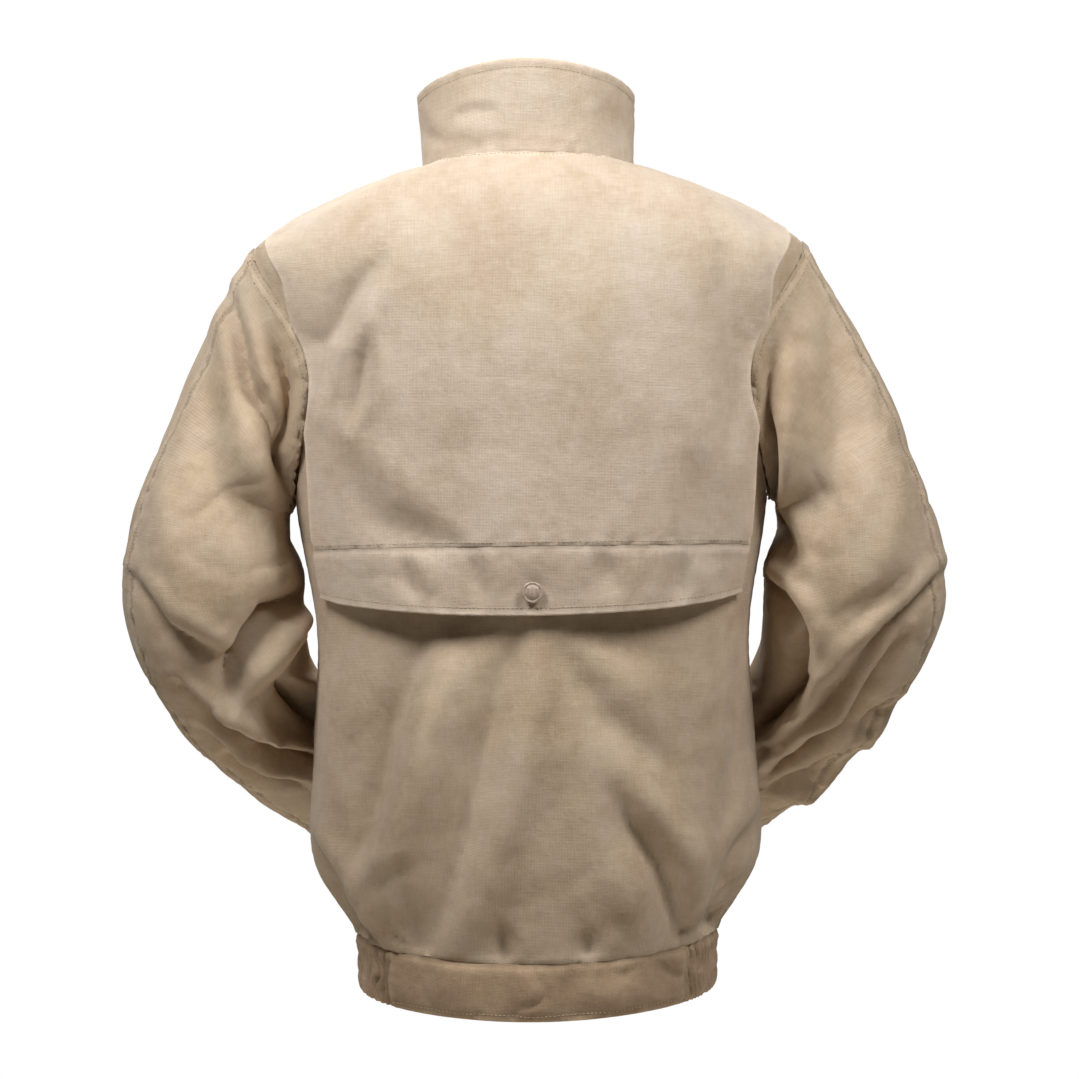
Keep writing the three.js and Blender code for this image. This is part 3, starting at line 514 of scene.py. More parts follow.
def cloth_mesh(name, points, normals, marks, thickness, turned, closed=False):
    """A closed mesh: the face of the cloth, its inside, and the walls at its edges."""
    rows, columns = points.shape[:2]
    inner = points - normals * thickness
    vertices = np.concatenate([points.reshape(-1, 3), inner.reshape(-1, 3)]) * MM
    index = np.arange(rows * columns).reshape(rows, columns)
    a, b, c, d = index[:-1, :-1], index[:-1, 1:], index[1:, 1:], index[1:, :-1]
    face = np.stack([a, b, c, d], -1).reshape(-1, 4)
    if turned:
        face = face[:, ::-1]
    under = face[:, ::-1] + rows * columns
    rims = [index[0, ::-1], index[-1]]
    if not closed:
        rims += [index[:, 0], index[::-1, -1]]
    walls = []
    for rim in rims:
        wall = np.stack([rim[1:], rim[:-1], rim[:-1] + rows * columns, rim[1:] + rows * columns], -1)
        walls.append(wall[:, ::-1] if turned else wall)
    faces = np.concatenate([face, under, *walls])
    data = bpy.data.meshes.new(name)
    data.from_pydata(vertices.tolist(), [], faces.tolist())
    across = np.linalg.norm(np.diff(points, axis=1), axis=-1).cumsum(1)
    across = np.concatenate([np.zeros((rows, 1)), across], 1)
    across -= across[:, columns // 2][:, None]
    down = np.linalg.norm(np.diff(points[:, columns // 2], axis=0), axis=-1).cumsum()
    down = np.repeat(np.append(0, down)[:, None], columns, 1)
    spread = np.tile(np.stack([across, down], -1).reshape(-1, 2) * MM, (2, 1))
    layer = data.uv_layers.new(name="cloth")
    corners = np.zeros(len(data.loops), np.int64)
    data.loops.foreach_get("vertex_index", corners)
    layer.data.foreach_set("uv", spread[corners].astype(np.float32).ravel())
    # seam: painted shade in the grooves of seams and stitch rows; worn: wear on folded edges and a
    # painted highlight beside seams
    for k, kind in enumerate(("seam", "worn")):
        value = np.tile(np.clip(marks[..., k], 0, 1).ravel(), 2)
        data.attributes.new(kind, "FLOAT", "POINT").data.foreach_set("value", value.astype(np.float32))
    if closed:
        shell = bmesh.new()
        shell.from_mesh(data)
        bmesh.ops.remove_doubles(shell, verts=shell.verts, dist=1e-6)
        shell.to_mesh(data)
        shell.free()
    data.shade_smooth()
    data.set_sharp_from_angle(angle=math.radians(62))
    data.validate()
    made = bpy.data.objects.new(name, data)
    bpy.context.scene.collection.objects.link(made)
    return made


threads = {}


def stitch_along(group, points, normals, side, inset, margin=2.0):
    """Notes a row of stitches at a given distance from one edge of a grid."""
    p = as_bottom(points, side)
    n = as_bottom(normals, side)
    far = as_bottom(reach_in(points, side), side)
    line, out = [], []
    for k in range(p.shape[1]):
        order = np.argsort(far[:, k])
        line.append([np.interp(inset, far[order, k], p[order, k, i]) for i in range(3)])
        out.append([np.interp(inset, far[order, k], n[order, k, i]) for i in range(3)])
    threads.setdefault(group, []).append((np.array(line), unit(np.array(out)), margin))


def measured_flat(base):
    """Width, length and area of a pattern piece, in metres."""
    width = np.linalg.norm(np.diff(base, axis=1), axis=-1).sum(1).max()
    length = np.linalg.norm(np.diff(base, axis=0), axis=-1).sum(0).max()
    p, q = base[1:, 1:] - base[:-1, :-1], base[1:, :-1] - base[:-1, 1:]
    area = np.linalg.norm(np.cross(p, q), axis=-1).sum() / 2
    width, length, area = width * MM, length * MM, area * MM * MM
    return round(width, 4), round(length, 4), min(area, width * length)


def panel(name, base, look, nodes, body="jacket", sewn=(), edges=(), rows_of_stitches=(),
          group=None, sleeve=False, heart=None, relief_by=None, thickness=CANVAS_THICKNESS,
          turn=(), held="hung", closed=False, pucker=1.0, dip=1.1, calm=()):
    if heart is None:
        heart = np.stack([0 * base[..., 0], 0 * base[..., 1], base[..., 2]], -1)
    normals, _ = grid_normals(base, heart, closed)
    height = relief(base, normals, sleeve) if relief_by is None else relief_by(base, normals)
    for side, start, width in calm:
        height = height * smooth((reach_in(base, side) - start) / width)
    marks = np.zeros(base.shape[:2] + (2,))
    ripple = creased(base, 11, 21) * 0.9 + lumps(base, 6, 22) * 0.8
    # Along each seam: mark 0 is painted shade in its groove, mark 1 a painted highlight on the ridge
    # beside it.
    for side in sewn:
        far = reach_in(base, side)
        height += -dip * np.exp(-((far / 2.6) ** 2)) + 0.5 * dip * np.exp(-(((far - 5) / 3) ** 2))
        height += ripple * np.exp(-far / 8) * pucker
        marks[..., 0] = np.maximum(marks[..., 0], np.exp(-((far / 1.7) ** 2)))
        marks[..., 1] = np.maximum(marks[..., 1], 0.7 * np.exp(-(((far - 4.5) / 2.6) ** 2)))
    for side in edges:
        far = reach_in(base, side)
        marks[..., 1] = np.maximum(marks[..., 1], np.exp(-far / 2.2))
    # Along each stitch row: mark 0 is painted shade in its groove.
    for side, inset in rows_of_stitches:
        far = reach_in(base, side)
        height += -0.6 * np.exp(-(((far - inset) / 1.3) ** 2))
        height += ripple * 0.7 * np.exp(-np.abs(far - inset) / 6) * pucker
        marks[..., 0] = np.maximum(marks[..., 0], 0.45 * np.exp(-(((far - inset) / 0.9) ** 2)))
    points = base + normals * height[..., None]
    normals, turned = grid_normals(points, heart, closed)
    face = points
    for side, inset in rows_of_stitches:
        stitch_along(group or name, points, normals, side, inset)
    for side, radius, reach in turn:
        points, normals, marks = turn_under(points, normals, marks, side, radius, reach)
    made = cloth_mesh(name, points, normals, marks, thickness, turned, closed)
    made.data.materials.append(look)
    width, length, area = measured_flat(face if held == "gathered" else base)
    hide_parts(*nodes)
    if body:
        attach(made, body)
    return made, points, normals


def sew(group, look, body="jacket"):
    """Makes every stitch of a group: short slips of thread that dip in at both ends."""
    vertices, faces = [], []
    for line, out, margin in threads.get(group, []):
        steps = np.linalg.norm(np.diff(line, axis=0), axis=-1)
        length = np.append(0, np.cumsum(steps))
        count = int((length[-1] - 2 * margin) / STITCH_PITCH)
        if count < 1:
            continue
        start = margin + np.arange(count) * STITCH_PITCH
        at = [np.stack([np.interp(start + d, length, line[:, i]) for i in range(3)], -1)
              for d in (0, STITCH_LENGTH * 0.25, STITCH_LENGTH * 0.75, STITCH_LENGTH)]
        up = unit(np.stack([np.interp(start, length, out[:, i]) for i in range(3)], -1))
        along = unit(at[3] - at[0])
        side = np.cross(along, up)
        ring = []
        for centre in (at[1], at[2]):
            centre = centre + up * 0.16
            ring += [centre + side * THREAD_RADIUS, centre + up * THREAD_RADIUS,
                     centre - side * THREAD_RADIUS, centre - up * THREAD_RADIUS]
        corners = np.stack([at[0] - up * 0.25, *ring, at[3] - up * 0.25], 1)
        first = len(vertices)
        vertices.extend(corners.reshape(-1, 3))
        slip = []
        for k in range(4):
            j = (k + 1) % 4
            slip += [(0, 1 + j, 1 + k), (1 + k, 1 + j, 5 + j), (1 + k, 5 + j, 5 + k), (9, 5 + k, 5 + j)]
        slip = np.array(slip)
        for k in range(count):
            faces.extend((slip + first + 10 * k).tolist())
    data = bpy.data.meshes.new(group + "_stitches")
    data.from_pydata((np.array(vertices) * MM).tolist(), [], faces)
    data.shade_smooth()
    made = bpy.data.objects.new(group + "_stitches", data)
    bpy.context.scene.collection.objects.link(made)
    shell = bmesh.new()
    shell.from_mesh(data)
    bmesh.ops.recalc_face_normals(shell, faces=shell.faces)
    shell.to_mesh(data)
    shell.free()
    made.data.materials.append(look)
    if body:
        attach(made, body)
    return made


# ---------------------------------------------------------------- materials


def linear(hex_colour):
    """An sRGB hex colour as the linear RGBA that a shader takes."""
    channels = [int(hex_colour[i:i + 2], 16) / 255 for i in (1, 3, 5)]
    return (*[c / 12.92 if c <= 0.04045 else ((c + 0.055) / 1.055) ** 2.4 for c in channels], 1)


def add_node(tree, kind, settings=None, links=None):
    """Adds a shader node, sets its properties and inputs, and links its inputs."""
    made = tree.nodes.new("ShaderNode" + kind)
    for name, value in (settings or {}).items():
        if isinstance(name, str) and hasattr(made, name):
            setattr(made, name, value)
        else:
            made.inputs[name].default_value = value
    for name, source in (links or {}).items():
        tree.links.new(source, made.inputs[name])
    return made


def new_material(name):
    look = bpy.data.materials.new(name)
    look.use_nodes = True
    tree = look.node_tree
    tree.nodes.clear()
    shader = add_node(tree, "BsdfPrincipled")
    output = add_node(tree, "OutputMaterial", links={"Surface": shader.outputs[0]})
    output.is_active_output = True
    return look, tree, shader


def wave_scale(spacing_mm):
    """Scale of a wave texture whose bands are this far apart, on coordinates in metres."""
    return 2 * math.pi / 20 / (spacing_mm * MM)


def woven_canvas(name, pale, middle, dark, thread_mm=1.15, mottle=0.5):
    """Brushed and washed cotton canvas: matt, slightly dusty, faded in soft blotches.

    Real threads lie 0.5 mm apart; the weave is drawn over twice as coarse so that it shows.
    """
    look, tree, shader = new_material(name)
    space = add_node(tree, "TexCoord")
    cloth = add_node(tree, "UVMap", {"uv_map": "cloth"})
    warp = add_node(tree, "TexWave", {
        "bands_direction": "X", "Scale": wave_scale(thread_mm), "Distortion": 1.2,
        "Detail": 2.0, "Detail Scale": 0.4}, {"Vector": cloth.outputs["UV"]})
    weft = add_node(tree, "TexWave", {
        "bands_direction": "Y", "Scale": wave_scale(thread_mm), "Distortion": 1.2,
        "Detail": 2.0, "Detail Scale": 0.4}, {"Vector": cloth.outputs["UV"]})
    weave = add_node(tree, "Math", {"operation": "MULTIPLY"},
                     {0: warp.outputs["Fac"], 1: weft.outputs["Fac"]})
    # thick and thin places in the yarn, 1 mm across and about 20 mm long
    long_yarn = add_node(tree, "Mapping", {"Scale": (50.0, 900.0, 1.0)},
                         {"Vector": cloth.outputs["UV"]})
    slubs = add_node(tree, "TexNoise", {"Scale": 1.0, "Detail": 2.0},
                     {"Vector": long_yarn.outputs[0]})
    up_yarn = add_node(tree, "Mapping", {"Scale": (900.0, 50.0, 1.0)},
                       {"Vector": cloth.outputs["UV"]})
    slubs_up = add_node(tree, "TexNoise", {"Scale": 1.0, "Detail": 2.0},
                        {"Vector": up_yarn.outputs[0]})
    yarn = add_node(tree, "Math", {"operation": "ADD"},
                    {0: slubs.outputs["Fac"], 1: slubs_up.outputs["Fac"]})
    # blotches of wear, 70 mm and 12 mm across
    blotch = add_node(tree, "TexNoise", {"Scale": 14.0, "Detail": 5.0, "Roughness": 0.62},
                      {"Vector": space.outputs["Object"]})
    speck = add_node(tree, "TexNoise", {"Scale": 85.0, "Detail": 4.0, "Roughness": 0.7},
                     {"Vector": space.outputs["Object"]})
    faded = add_node(tree, "Math", {"operation": "MULTIPLY_ADD", 1: 0.55},
                     {0: speck.outputs["Fac"], 2: blotch.outputs["Fac"]})
    shade = add_node(tree, "MapRange", {"From Min": 0.55, "From Max": 1.0,
                                        "To Min": 0.5 - mottle / 2, "To Max": 0.5 + mottle / 2},
                     {"Value": faded.outputs[0]})
    ramp = add_node(tree, "ValToRGB", links={"Fac": shade.outputs[0]})
    ramp.color_ramp.elements[0].color = linear(dark)
    ramp.color_ramp.elements[1].color = linear(pale)
    ramp.color_ramp.elements.new(0.5).color = linear(middle)
    # painted shade: each thread is a little darker in the hollows between its neighbours
    hollow_shade = add_node(tree, "MapRange", {"From Min": 0.55, "From Max": 1.35, "To Min": 0.9,
                                         "To Max": 1.07}, {"Value": yarn.outputs[0]})
    threads_shown = add_node(tree, "MixRGB", {"blend_type": "MULTIPLY", "Fac": 1.0},
                             {"Color1": ramp.outputs["Color"], "Color2": hollow_shade.outputs[0]})
    woven = add_node(tree, "MapRange", {"To Min": 0.93, "To Max": 1.03},
                     {"Value": weave.outputs[0]})
    coloured = add_node(tree, "MixRGB", {"blend_type": "MULTIPLY", "Fac": 1.0},
                        {"Color1": threads_shown.outputs[0], "Color2": woven.outputs[0]})
    # painted shade: darker in the groove along each seam and stitch row; folded edges rub pale, and the
    # ridge beside each seam is paler, a painted highlight
    seam = add_node(tree, "Attribute", {"attribute_name": "seam"})
    worn = add_node(tree, "Attribute", {"attribute_name": "worn"})
    groove_shade_share = add_node(tree, "Math", {"operation": "MULTIPLY", 1: 0.4},
                          {0: seam.outputs["Fac"]})
    groove_shaded = add_node(tree, "MixRGB", {"Color2": linear(painted_shade_colour(dark))},
                     {"Fac": groove_shade_share.outputs[0], "Color1": coloured.outputs[0]})
    wear_and_highlight = add_node(tree, "Math", {"operation": "MULTIPLY"},
                   {0: worn.outputs["Fac"], 1: speck.outputs["Fac"]})
    wear_and_highlight_share = add_node(tree, "Math", {"operation": "MULTIPLY", 1: 0.75}, {0: wear_and_highlight.outputs[0]})
    # the paler mix is real wear on folded edges and a painted highlight on the ridge beside each seam
    rubbed = add_node(tree, "MixRGB", {"Color2": linear(wear_and_highlight_colour(pale))},
                      {"Fac": wear_and_highlight_share.outputs[0], "Color1": groove_shaded.outputs[0]})
    tree.links.new(rubbed.outputs[0], shader.inputs["Base Color"])
    rough = add_node(tree, "MapRange", {"To Min": 0.84, "To Max": 0.97},
                     {"Value": speck.outputs["Fac"]})
    tree.links.new(rough.outputs[0], shader.inputs["Roughness"])
    shader.inputs["Specular IOR Level"].default_value = 0.25
    shader.inputs["Sheen Weight"].default_value = 0.12
    shader.inputs["Sheen Roughness"].default_value = 0.5
    surface = add_node(tree, "Math", {"operation": "MULTIPLY_ADD", 1: 0.6},
                       {0: yarn.outputs[0], 2: weave.outputs[0]})
    grain = add_node(tree, "Bump", {"Strength": 0.35, "Distance": 0.0004},
                     {"Height": surface.outputs[0]})
    crush = add_node(tree, "Bump", {"Strength": 0.5, "Distance": 0.0016},
                     {"Height": speck.outputs["Fac"], "Normal": grain.outputs[0]})
    tree.links.new(crush.outputs[0], shader.inputs["Normal"])
    return look


def shifted(hex_colour, by):
    parts = [max(0, min(255, int(int(hex_colour[i:i + 2], 16) * by))) for i in (1, 3, 5)]
    return "#%02X%02X%02X" % tuple(parts)


# colour of the painted shade in the grooves of seams and stitch rows
def painted_shade_colour(hex_colour):
    return shifted(hex_colour, 0.6)


# colour of the worn folded edges and of the painted highlight beside seams
def wear_and_highlight_colour(hex_colour):
    return shifted(hex_colour, 1.12)


def sewing_thread(name, colour):
    """Polyester-cotton thread: a slight shine, its twist about 0.4 mm long."""
    look, tree, shader = new_material(name)
    space = add_node(tree, "TexCoord")
    twist = add_node(tree, "TexNoise", {"Scale": 900.0, "Detail": 2.0},
                     {"Vector": space.outputs["Object"]})
    ramp = add_node(tree, "ValToRGB", links={"Fac": twist.outputs["Fac"]})
    ramp.color_ramp.elements[0].color = linear(shifted(colour, 0.82))
    ramp.color_ramp.elements[1].color = linear(shifted(colour, 1.1))
    tree.links.new(ramp.outputs["Color"], shader.inputs["Base Color"])
    shader.inputs["Roughness"].default_value = 0.6
    return look


def knitted_mesh(name, yarn, shade_in_holes):
    """Warp-knitted vent mesh: round holes 3 mm apart in a dull polyester net."""
    look, tree, shader = new_material(name)
    cloth = add_node(tree, "UVMap", {"uv_map": "cloth"})
    cells = add_node(tree, "TexVoronoi", {"Scale": 333.0, "Randomness": 0.15},
                     {"Vector": cloth.outputs["UV"]})
    # The holes are painted dark brown: painted shade for the gap behind the net.
    holes = add_node(tree, "ValToRGB", links={"Fac": cells.outputs["Distance"]})
    holes.color_ramp.elements[0].position = 0.22
    holes.color_ramp.elements[0].color = linear(shade_in_holes)
    holes.color_ramp.elements[1].position = 0.34
    holes.color_ramp.elements[1].color = linear(yarn)
    bump = add_node(tree, "Bump", {"Strength": 0.6, "Distance": 0.0005},
                    {"Height": cells.outputs["Distance"]})
    tree.links.new(holes.outputs["Color"], shader.inputs["Base Color"])
    tree.links.new(bump.outputs[0], shader.inputs["Normal"])
    shader.inputs["Roughness"].default_value = 0.8
    return look


def woven_tape(name, pale, dark):
    """Herringbone zip tape and hanger tape: flat ribs 0.9 mm apart, faint shine."""
    look, tree, shader = new_material(name)
    cloth = add_node(tree, "UVMap", {"uv_map": "cloth"})
    ribs = add_node(tree, "TexWave", {"bands_direction": "DIAGONAL",
                                      "Scale": wave_scale(0.9) / 1.4, "Distortion": 0.5},
                    {"Vector": cloth.outputs["UV"]})
    ramp = add_node(tree, "ValToRGB", links={"Fac": ribs.outputs["Fac"]})
    ramp.color_ramp.elements[0].color = linear(dark)
    ramp.color_ramp.elements[1].color = linear(pale)
    bump = add_node(tree, "Bump", {"Strength": 0.5, "Distance": 0.0003},
                    {"Height": ribs.outputs["Fac"]})
    tree.links.new(ramp.outputs["Color"], shader.inputs["Base Color"])
    tree.links.new(bump.outputs[0], shader.inputs["Normal"])
    shader.inputs["Roughness"].default_value = 0.75
    return look


def painted_snap(name, paint, chipped):
    """Enamelled brass snap cap: satin tan paint, a little scuffed where it is rubbed."""
    look, tree, shader = new_material(name)
    space = add_node(tree, "TexCoord")
    scuffs = add_node(tree, "TexNoise", {"Scale": 420.0, "Detail": 5.0, "Roughness": 0.7},
                      {"Vector": space.outputs["Object"]})
    ramp = add_node(tree, "ValToRGB", links={"Fac": scuffs.outputs["Fac"]})
    ramp.color_ramp.elements[0].position = 0.3
    ramp.color_ramp.elements[0].color = linear(chipped)
    ramp.color_ramp.elements[1].position = 0.55
    ramp.color_ramp.elements[1].color = linear(paint)
    rough = add_node(tree, "MapRange", {"To Min": 0.28, "To Max": 0.5},
                     {"Value": scuffs.outputs["Fac"]})
    tree.links.new(ramp.outputs["Color"], shader.inputs["Base Color"])
    tree.links.new(rough.outputs[0], shader.inputs["Roughness"])
    shader.inputs["Coat Weight"].default_value = 0.3
    shader.inputs["Coat Roughness"].default_value = 0.3
    return look


def antique_brass(name, bright, dull):
    """Antiqued brass: brown in the hollows, rubbed bright on the edges."""
    look, tree, shader = new_material(name)
    space = add_node(tree, "TexCoord")
    stains = add_node(tree, "TexNoise", {"Scale": 260.0, "Detail": 6.0, "Roughness": 0.65},
                      {"Vector": space.outputs["Object"]})
    ramp = add_node(tree, "ValToRGB", links={"Fac": stains.outputs["Fac"]})
    ramp.color_ramp.elements[0].position = 0.35
    ramp.color_ramp.elements[0].color = linear(dull)
    ramp.color_ramp.elements[1].position = 0.65
    ramp.color_ramp.elements[1].color = linear(bright)
    rough = add_node(tree, "MapRange", {"To Min": 0.3, "To Max": 0.55},
                     {"Value": stains.outputs["Fac"]})
    tree.links.new(ramp.outputs["Color"], shader.inputs["Base Color"])
    tree.links.new(rough.outputs[0], shader.inputs["Roughness"])
    shader.inputs["Metallic"].default_value = 1.0
    return look


canvas = woven_canvas("brushed_cotton_canvas", "#D4C2AA", "#C8B296", "#B2987A", mottle=0.65)
# Painted light: a paler copy of the canvas for the cape, its hem and the collar, which are the same
# cloth as the rest, only lit more from above.
top_lit_canvas = woven_canvas("canvas_paled_for_painted_top_light", "#DECEBB", "#D2BFA7", "#BFA78B", mottle=0.65)
# Painted shade: a darker copy of the canvas for the waistband, the cuffs and their tabs, which are the
# same cloth as the rest.
shaded_band_canvas = woven_canvas("shade_darkened_band_cloth", "#C6AD8D", "#B2977A", "#95795B", mottle=0.7)
lining = woven_canvas("inside_cotton_canvas", "#BCA88B", "#B09A7B", "#9C8563", mottle=0.4)
thread = sewing_thread("topstitching_thread", "#C9B594")
# the net's holes are painted dark as painted shade
vent_net = knitted_mesh("warp_knitted_vent_mesh", "#B9A88E", "#4A4033")
tape = woven_tape("herringbone_tape", "#A08862", "#7C6747")
snap_paint = painted_snap("enamelled_snap_cap", "#BFAB98", "#8E7460")
brass = antique_brass("antique_brass", "#B79A63", "#6E5430")

# ---------------------------------------------------------------- back and cape


def sunk_below_hem(base, normals):
    """The back falls in under the cape's hem, deepest each side of the snap."""
    x, _, z = np.moveaxis(base, -1, 0)
    height = relief(base, normals)
    under = np.exp(-(((z + 368) / 34) ** 2)) * smooth((175 - np.abs(x)) / 50)
    hollows = np.exp(-(((x - 92) / 55) ** 2)) + 0.8 * np.exp(-(((x + 95) / 55) ** 2))
    return height - under * (4 + 10 * hollows)


def hang_of_hem(base, normals):
    """The hem stands off each side of the snap and dimples under it."""
    x, _, z = np.moveaxis(base, -1, 0)
    down = smooth((-z - 309) / 46)
    lift = np.exp(-(((x - 84) / 48) ** 2)) + 0.9 * np.exp(-(((x + 78) / 48) ** 2))
    snap = Vector(body_at(np.array(0.0), np.array(SNAP_WAY), CAPE_STAND_OFF))
    far = np.hypot(x - snap.x, z - snap.z)
    return relief(base, normals) + down * (3 * lift - 2) - 1.6 * np.exp(-((far / 15) ** 2))


def sunk_at_waist(ways):
    """The panel's last few millimetres go in behind the waistband."""
    return mix(0.5, -2.2, smooth((ways - 0.995) / 0.008))


back_ways = ways_between(0.002, 1.007, 3.6)
panel("back_panel_cloth", body_grid(back_seam, back_ways, 104, sunk_at_waist(back_ways)), canvas,
      ["back_panel"], sewn=("left", "right", "top", "bottom"), group="back",
      rows_of_stitches=(("bottom", 5),), relief_by=sunk_below_hem,
      calm=(("left", 6, 34), ("right", 6, 34), ("bottom", 4, 9)))

cape_ways = ways_between(CAPE_START, CAPE_FOLD, 3.0)


def cape_grid():
    """Points of the cape, which lies close on the shoulder seams and hangs free below."""
    way = np.repeat(cape_ways[:, None], 133, 1)
    angle = np.linspace(-1, 1, 133)[None, :] * cape_edge(cape_ways)[:, None]
    sewn_down = smooth((np.abs(angle) - 0.75) / 0.35) * smooth((0.31 - way) / 0.07)
    return body_at(angle, way, mix(cape_out(way) + 0.8, 2.6, sewn_down))


def cape_relief(base, normals):
    """The pressed cape is smoother than the rest, and flattest along the shoulder seams."""
    rise = relief(base, normals, crushed=0.35)
    seam = smooth((0.3 - cape_ways) / 0.08)[:, None]
    inside = smooth(reach_in(base, "left") / 30) * smooth(reach_in(base, "right") / 30)
    return rise * mix(1, inside, seam)


edge_roll = 0.5 + 1.8 * smooth((cape_ways - 0.2) / 0.08)
panel("back_cape_cloth", cape_grid(), top_lit_canvas, ["back_cape"],
      sewn=("top", "bottom"), edges=("left", "right"), relief_by=cape_relief,
      rows_of_stitches=(("top", 4), ("bottom", 3)), group="cape", dip=0.5,
      turn=(("left", edge_roll, 14), ("right", edge_roll, 14)))

hem_ways = np.linspace(CAPE_FOLD + 0.0002, CAPE_END, 15)


def hem_grid(from_x, to_x, columns):
    """Grid of the cape's hem between two upright lines."""
    side_angle = cape_edge(hem_ways)[:, None]
    share = np.linspace(-1, 1, 400)[None, :]
    angle = share * side_angle
    rise = ((hem_ways - CAPE_FOLD) / (CAPE_END - CAPE_FOLD))[:, None]
    way = hem_ways[:, None] + rise * (0.005 - 0.017 * share**2)
    dense = body_at(angle, way, np.full(way.shape, CAPE_STAND_OFF + 0.8))
    rows = []
    for row in dense:
        start = max(from_x, row[:, 0].min())
        end = min(to_x, row[:, 0].max())
        x = np.linspace(start, end, columns + 1)
        rows.append(np.stack([x, *(np.interp(x, row[:, 0], row[:, i]) for i in (1, 2))], -1))
    return np.array(rows)




def lift_from_stitching(piece):
    """Writes the piece's placement into its mesh."""
    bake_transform(piece)


HEM_STITCHES = (("bottom", 4.5),)
flap, _, _ = panel("cape_flap_cloth", hem_grid(-FLAP_HALF_WIDTH, FLAP_HALF_WIDTH, 80), top_lit_canvas,
      ["cape_flap"], body=None, sewn=("top",), edges=("bottom",), group="cape_flap",
      rows_of_stitches=HEM_STITCHES, relief_by=hang_of_hem, dip=0.5, turn=(("bottom", 1.4, 9),))
lift_from_stitching(flap)
lift_from_stitching(sew("cape_flap", thread, None))
for name, from_x, to_x in (("left", FLAP_HALF_WIDTH, 999), ("right", -999, -FLAP_HALF_WIDTH)):
    end, _, _ = panel(f"cape_hem_end_{name}_cloth", hem_grid(from_x, to_x, 28), top_lit_canvas,
                      [f"cape_hem_end_{name}"], body=None, sewn=("top",), edges=("bottom",),
                      group=f"cape_hem_end_{name}", rows_of_stitches=HEM_STITCHES,
                      relief_by=hang_of_hem, dip=0.5, turn=(("bottom", 1.4, 9),))
    lift_from_stitching(end)
    lift_from_stitching(sew(f"cape_hem_end_{name}", thread, None))

# The mesh lies higher under the cape than its solid and is shorter.
vent_ways = ways_between(0.09, 0.36, 6)
panel("vent_mesh_cloth",
      body_grid(lambda way: back_edge(way) * 0.57, vent_ways, 60, 2.4),
      vent_net, ["vent_mesh"], thickness=0.5,
      relief_by=lambda base, normals: sunk_below_hem(base, normals) * 0.9)
sew("back", thread)
sew("cape", thread)

# ---------------------------------------------------------------- fronts


def front_edge_angle(side):
    return lambda way: side * (np.pi - FRONT_EDGE / body_surface(np.pi / 2, way)[..., 0])


def front_side_angle(side):
    return lambda way: side * (np.pi / 2 + armhole_reach(way) - tucked(way))


front_ways = ways_between(0.001, 1.007, 3.8)
for name, side in (("left", 1), ("right", -1)):
    grid = body_grid(front_edge_angle(side), front_ways, 66, sunk_at_waist(front_ways),
                     front_side_angle(side))
    panel(f"front_panel_{name}_cloth", grid, canvas, [f"front_panel_{name}"],
          sewn=("left", "bottom", "top"), edges=("right",), group="front",
          rows_of_stitches=(("right", 3), ("right", 11), ("bottom", 5)),
          turn=(("right", 1.3, 6),), calm=(("left", 6, 34), ("bottom", 4, 9)))
    start = lambda way, side=side: side * (np.pi - FACING_START / body_surface(np.pi / 2, way)[..., 0])
    inner = lambda way, side=side: start(way) + (front_side_angle(side)(way) - start(way)) * 0.25
    facing = body_grid(start, ways_between(0.004, 0.995, 8), 16, -1.2, inner)
    panel(f"front_facing_{name}_cloth", facing, lining, [f"front_facing_{name}"],
          thickness=0.8, relief_by=lambda base, normals: relief(base, normals) - 0.6)

# ---------------------------------------------------------------- pockets


def pocket_at(side, along, across, out):
    tilt = math.radians(58)
    turn = along * math.cos(tilt) + across * math.sin(tilt)
    drop = along * math.sin(tilt) - across * math.cos(tilt)
    angle = math.radians(137) - turn / 176
    return body_at(side * angle, 0.8 + drop / BACK_LENGTH, out)


def pocket_grid(side, length, start, end, out, columns, rows):
    along = np.linspace(-0.5, 0.5, columns + 1)[None, :] * length
    across = np.linspace(start, end, rows + 1)[:, None]
    along, across = np.broadcast_arrays(along, across)
    return pocket_at(side, along, across, np.full(along.shape, float(out)))


def pocket_pouch(side):
    """The pouch's section, from its open lip round its closed bottom and back."""
    along = np.linspace(-0.5, 0.5, 49)[:, None] * 152
    turn = np.linspace(0, 2 * np.pi, 49)[None, :]
    along, turn = np.broadcast_arrays(along, turn)
    fat = np.sqrt(np.clip(1 - (along / 77) ** 6, 0, 1))
    across = -31 + 42 * np.cos(turn)
    return pocket_at(side, along, across, -9 + 2.6 * np.sin(turn) * fat)


for name, side in (("left", 1), ("right", -1)):
    welt = pocket_grid(side, 150, -22, 0, 4.2, 56, 10)
    panel(f"pocket_welt_{name}_cloth", welt, canvas, [f"pocket_welt_{name}"],
          edges=("bottom", "left", "right"), sewn=("top",), group="front", thickness=2.2,
          rows_of_stitches=(("bottom", 5), ("left", 3), ("right", 3)),
          relief_by=lambda base, normals: relief(base, normals) * 0.6)
    pouch = pocket_pouch(side)
    middle = pouch.mean(1, keepdims=True)
    panel(f"pocket_bag_{name}_cloth", pouch, lining, [f"pocket_bag_{name}"],
          heart=middle, thickness=0.6, closed=True,
          relief_by=lambda base, normals: lumps(base, 40, 31) * 0.8)
sew("front", thread)

# ---------------------------------------------------------------- collar


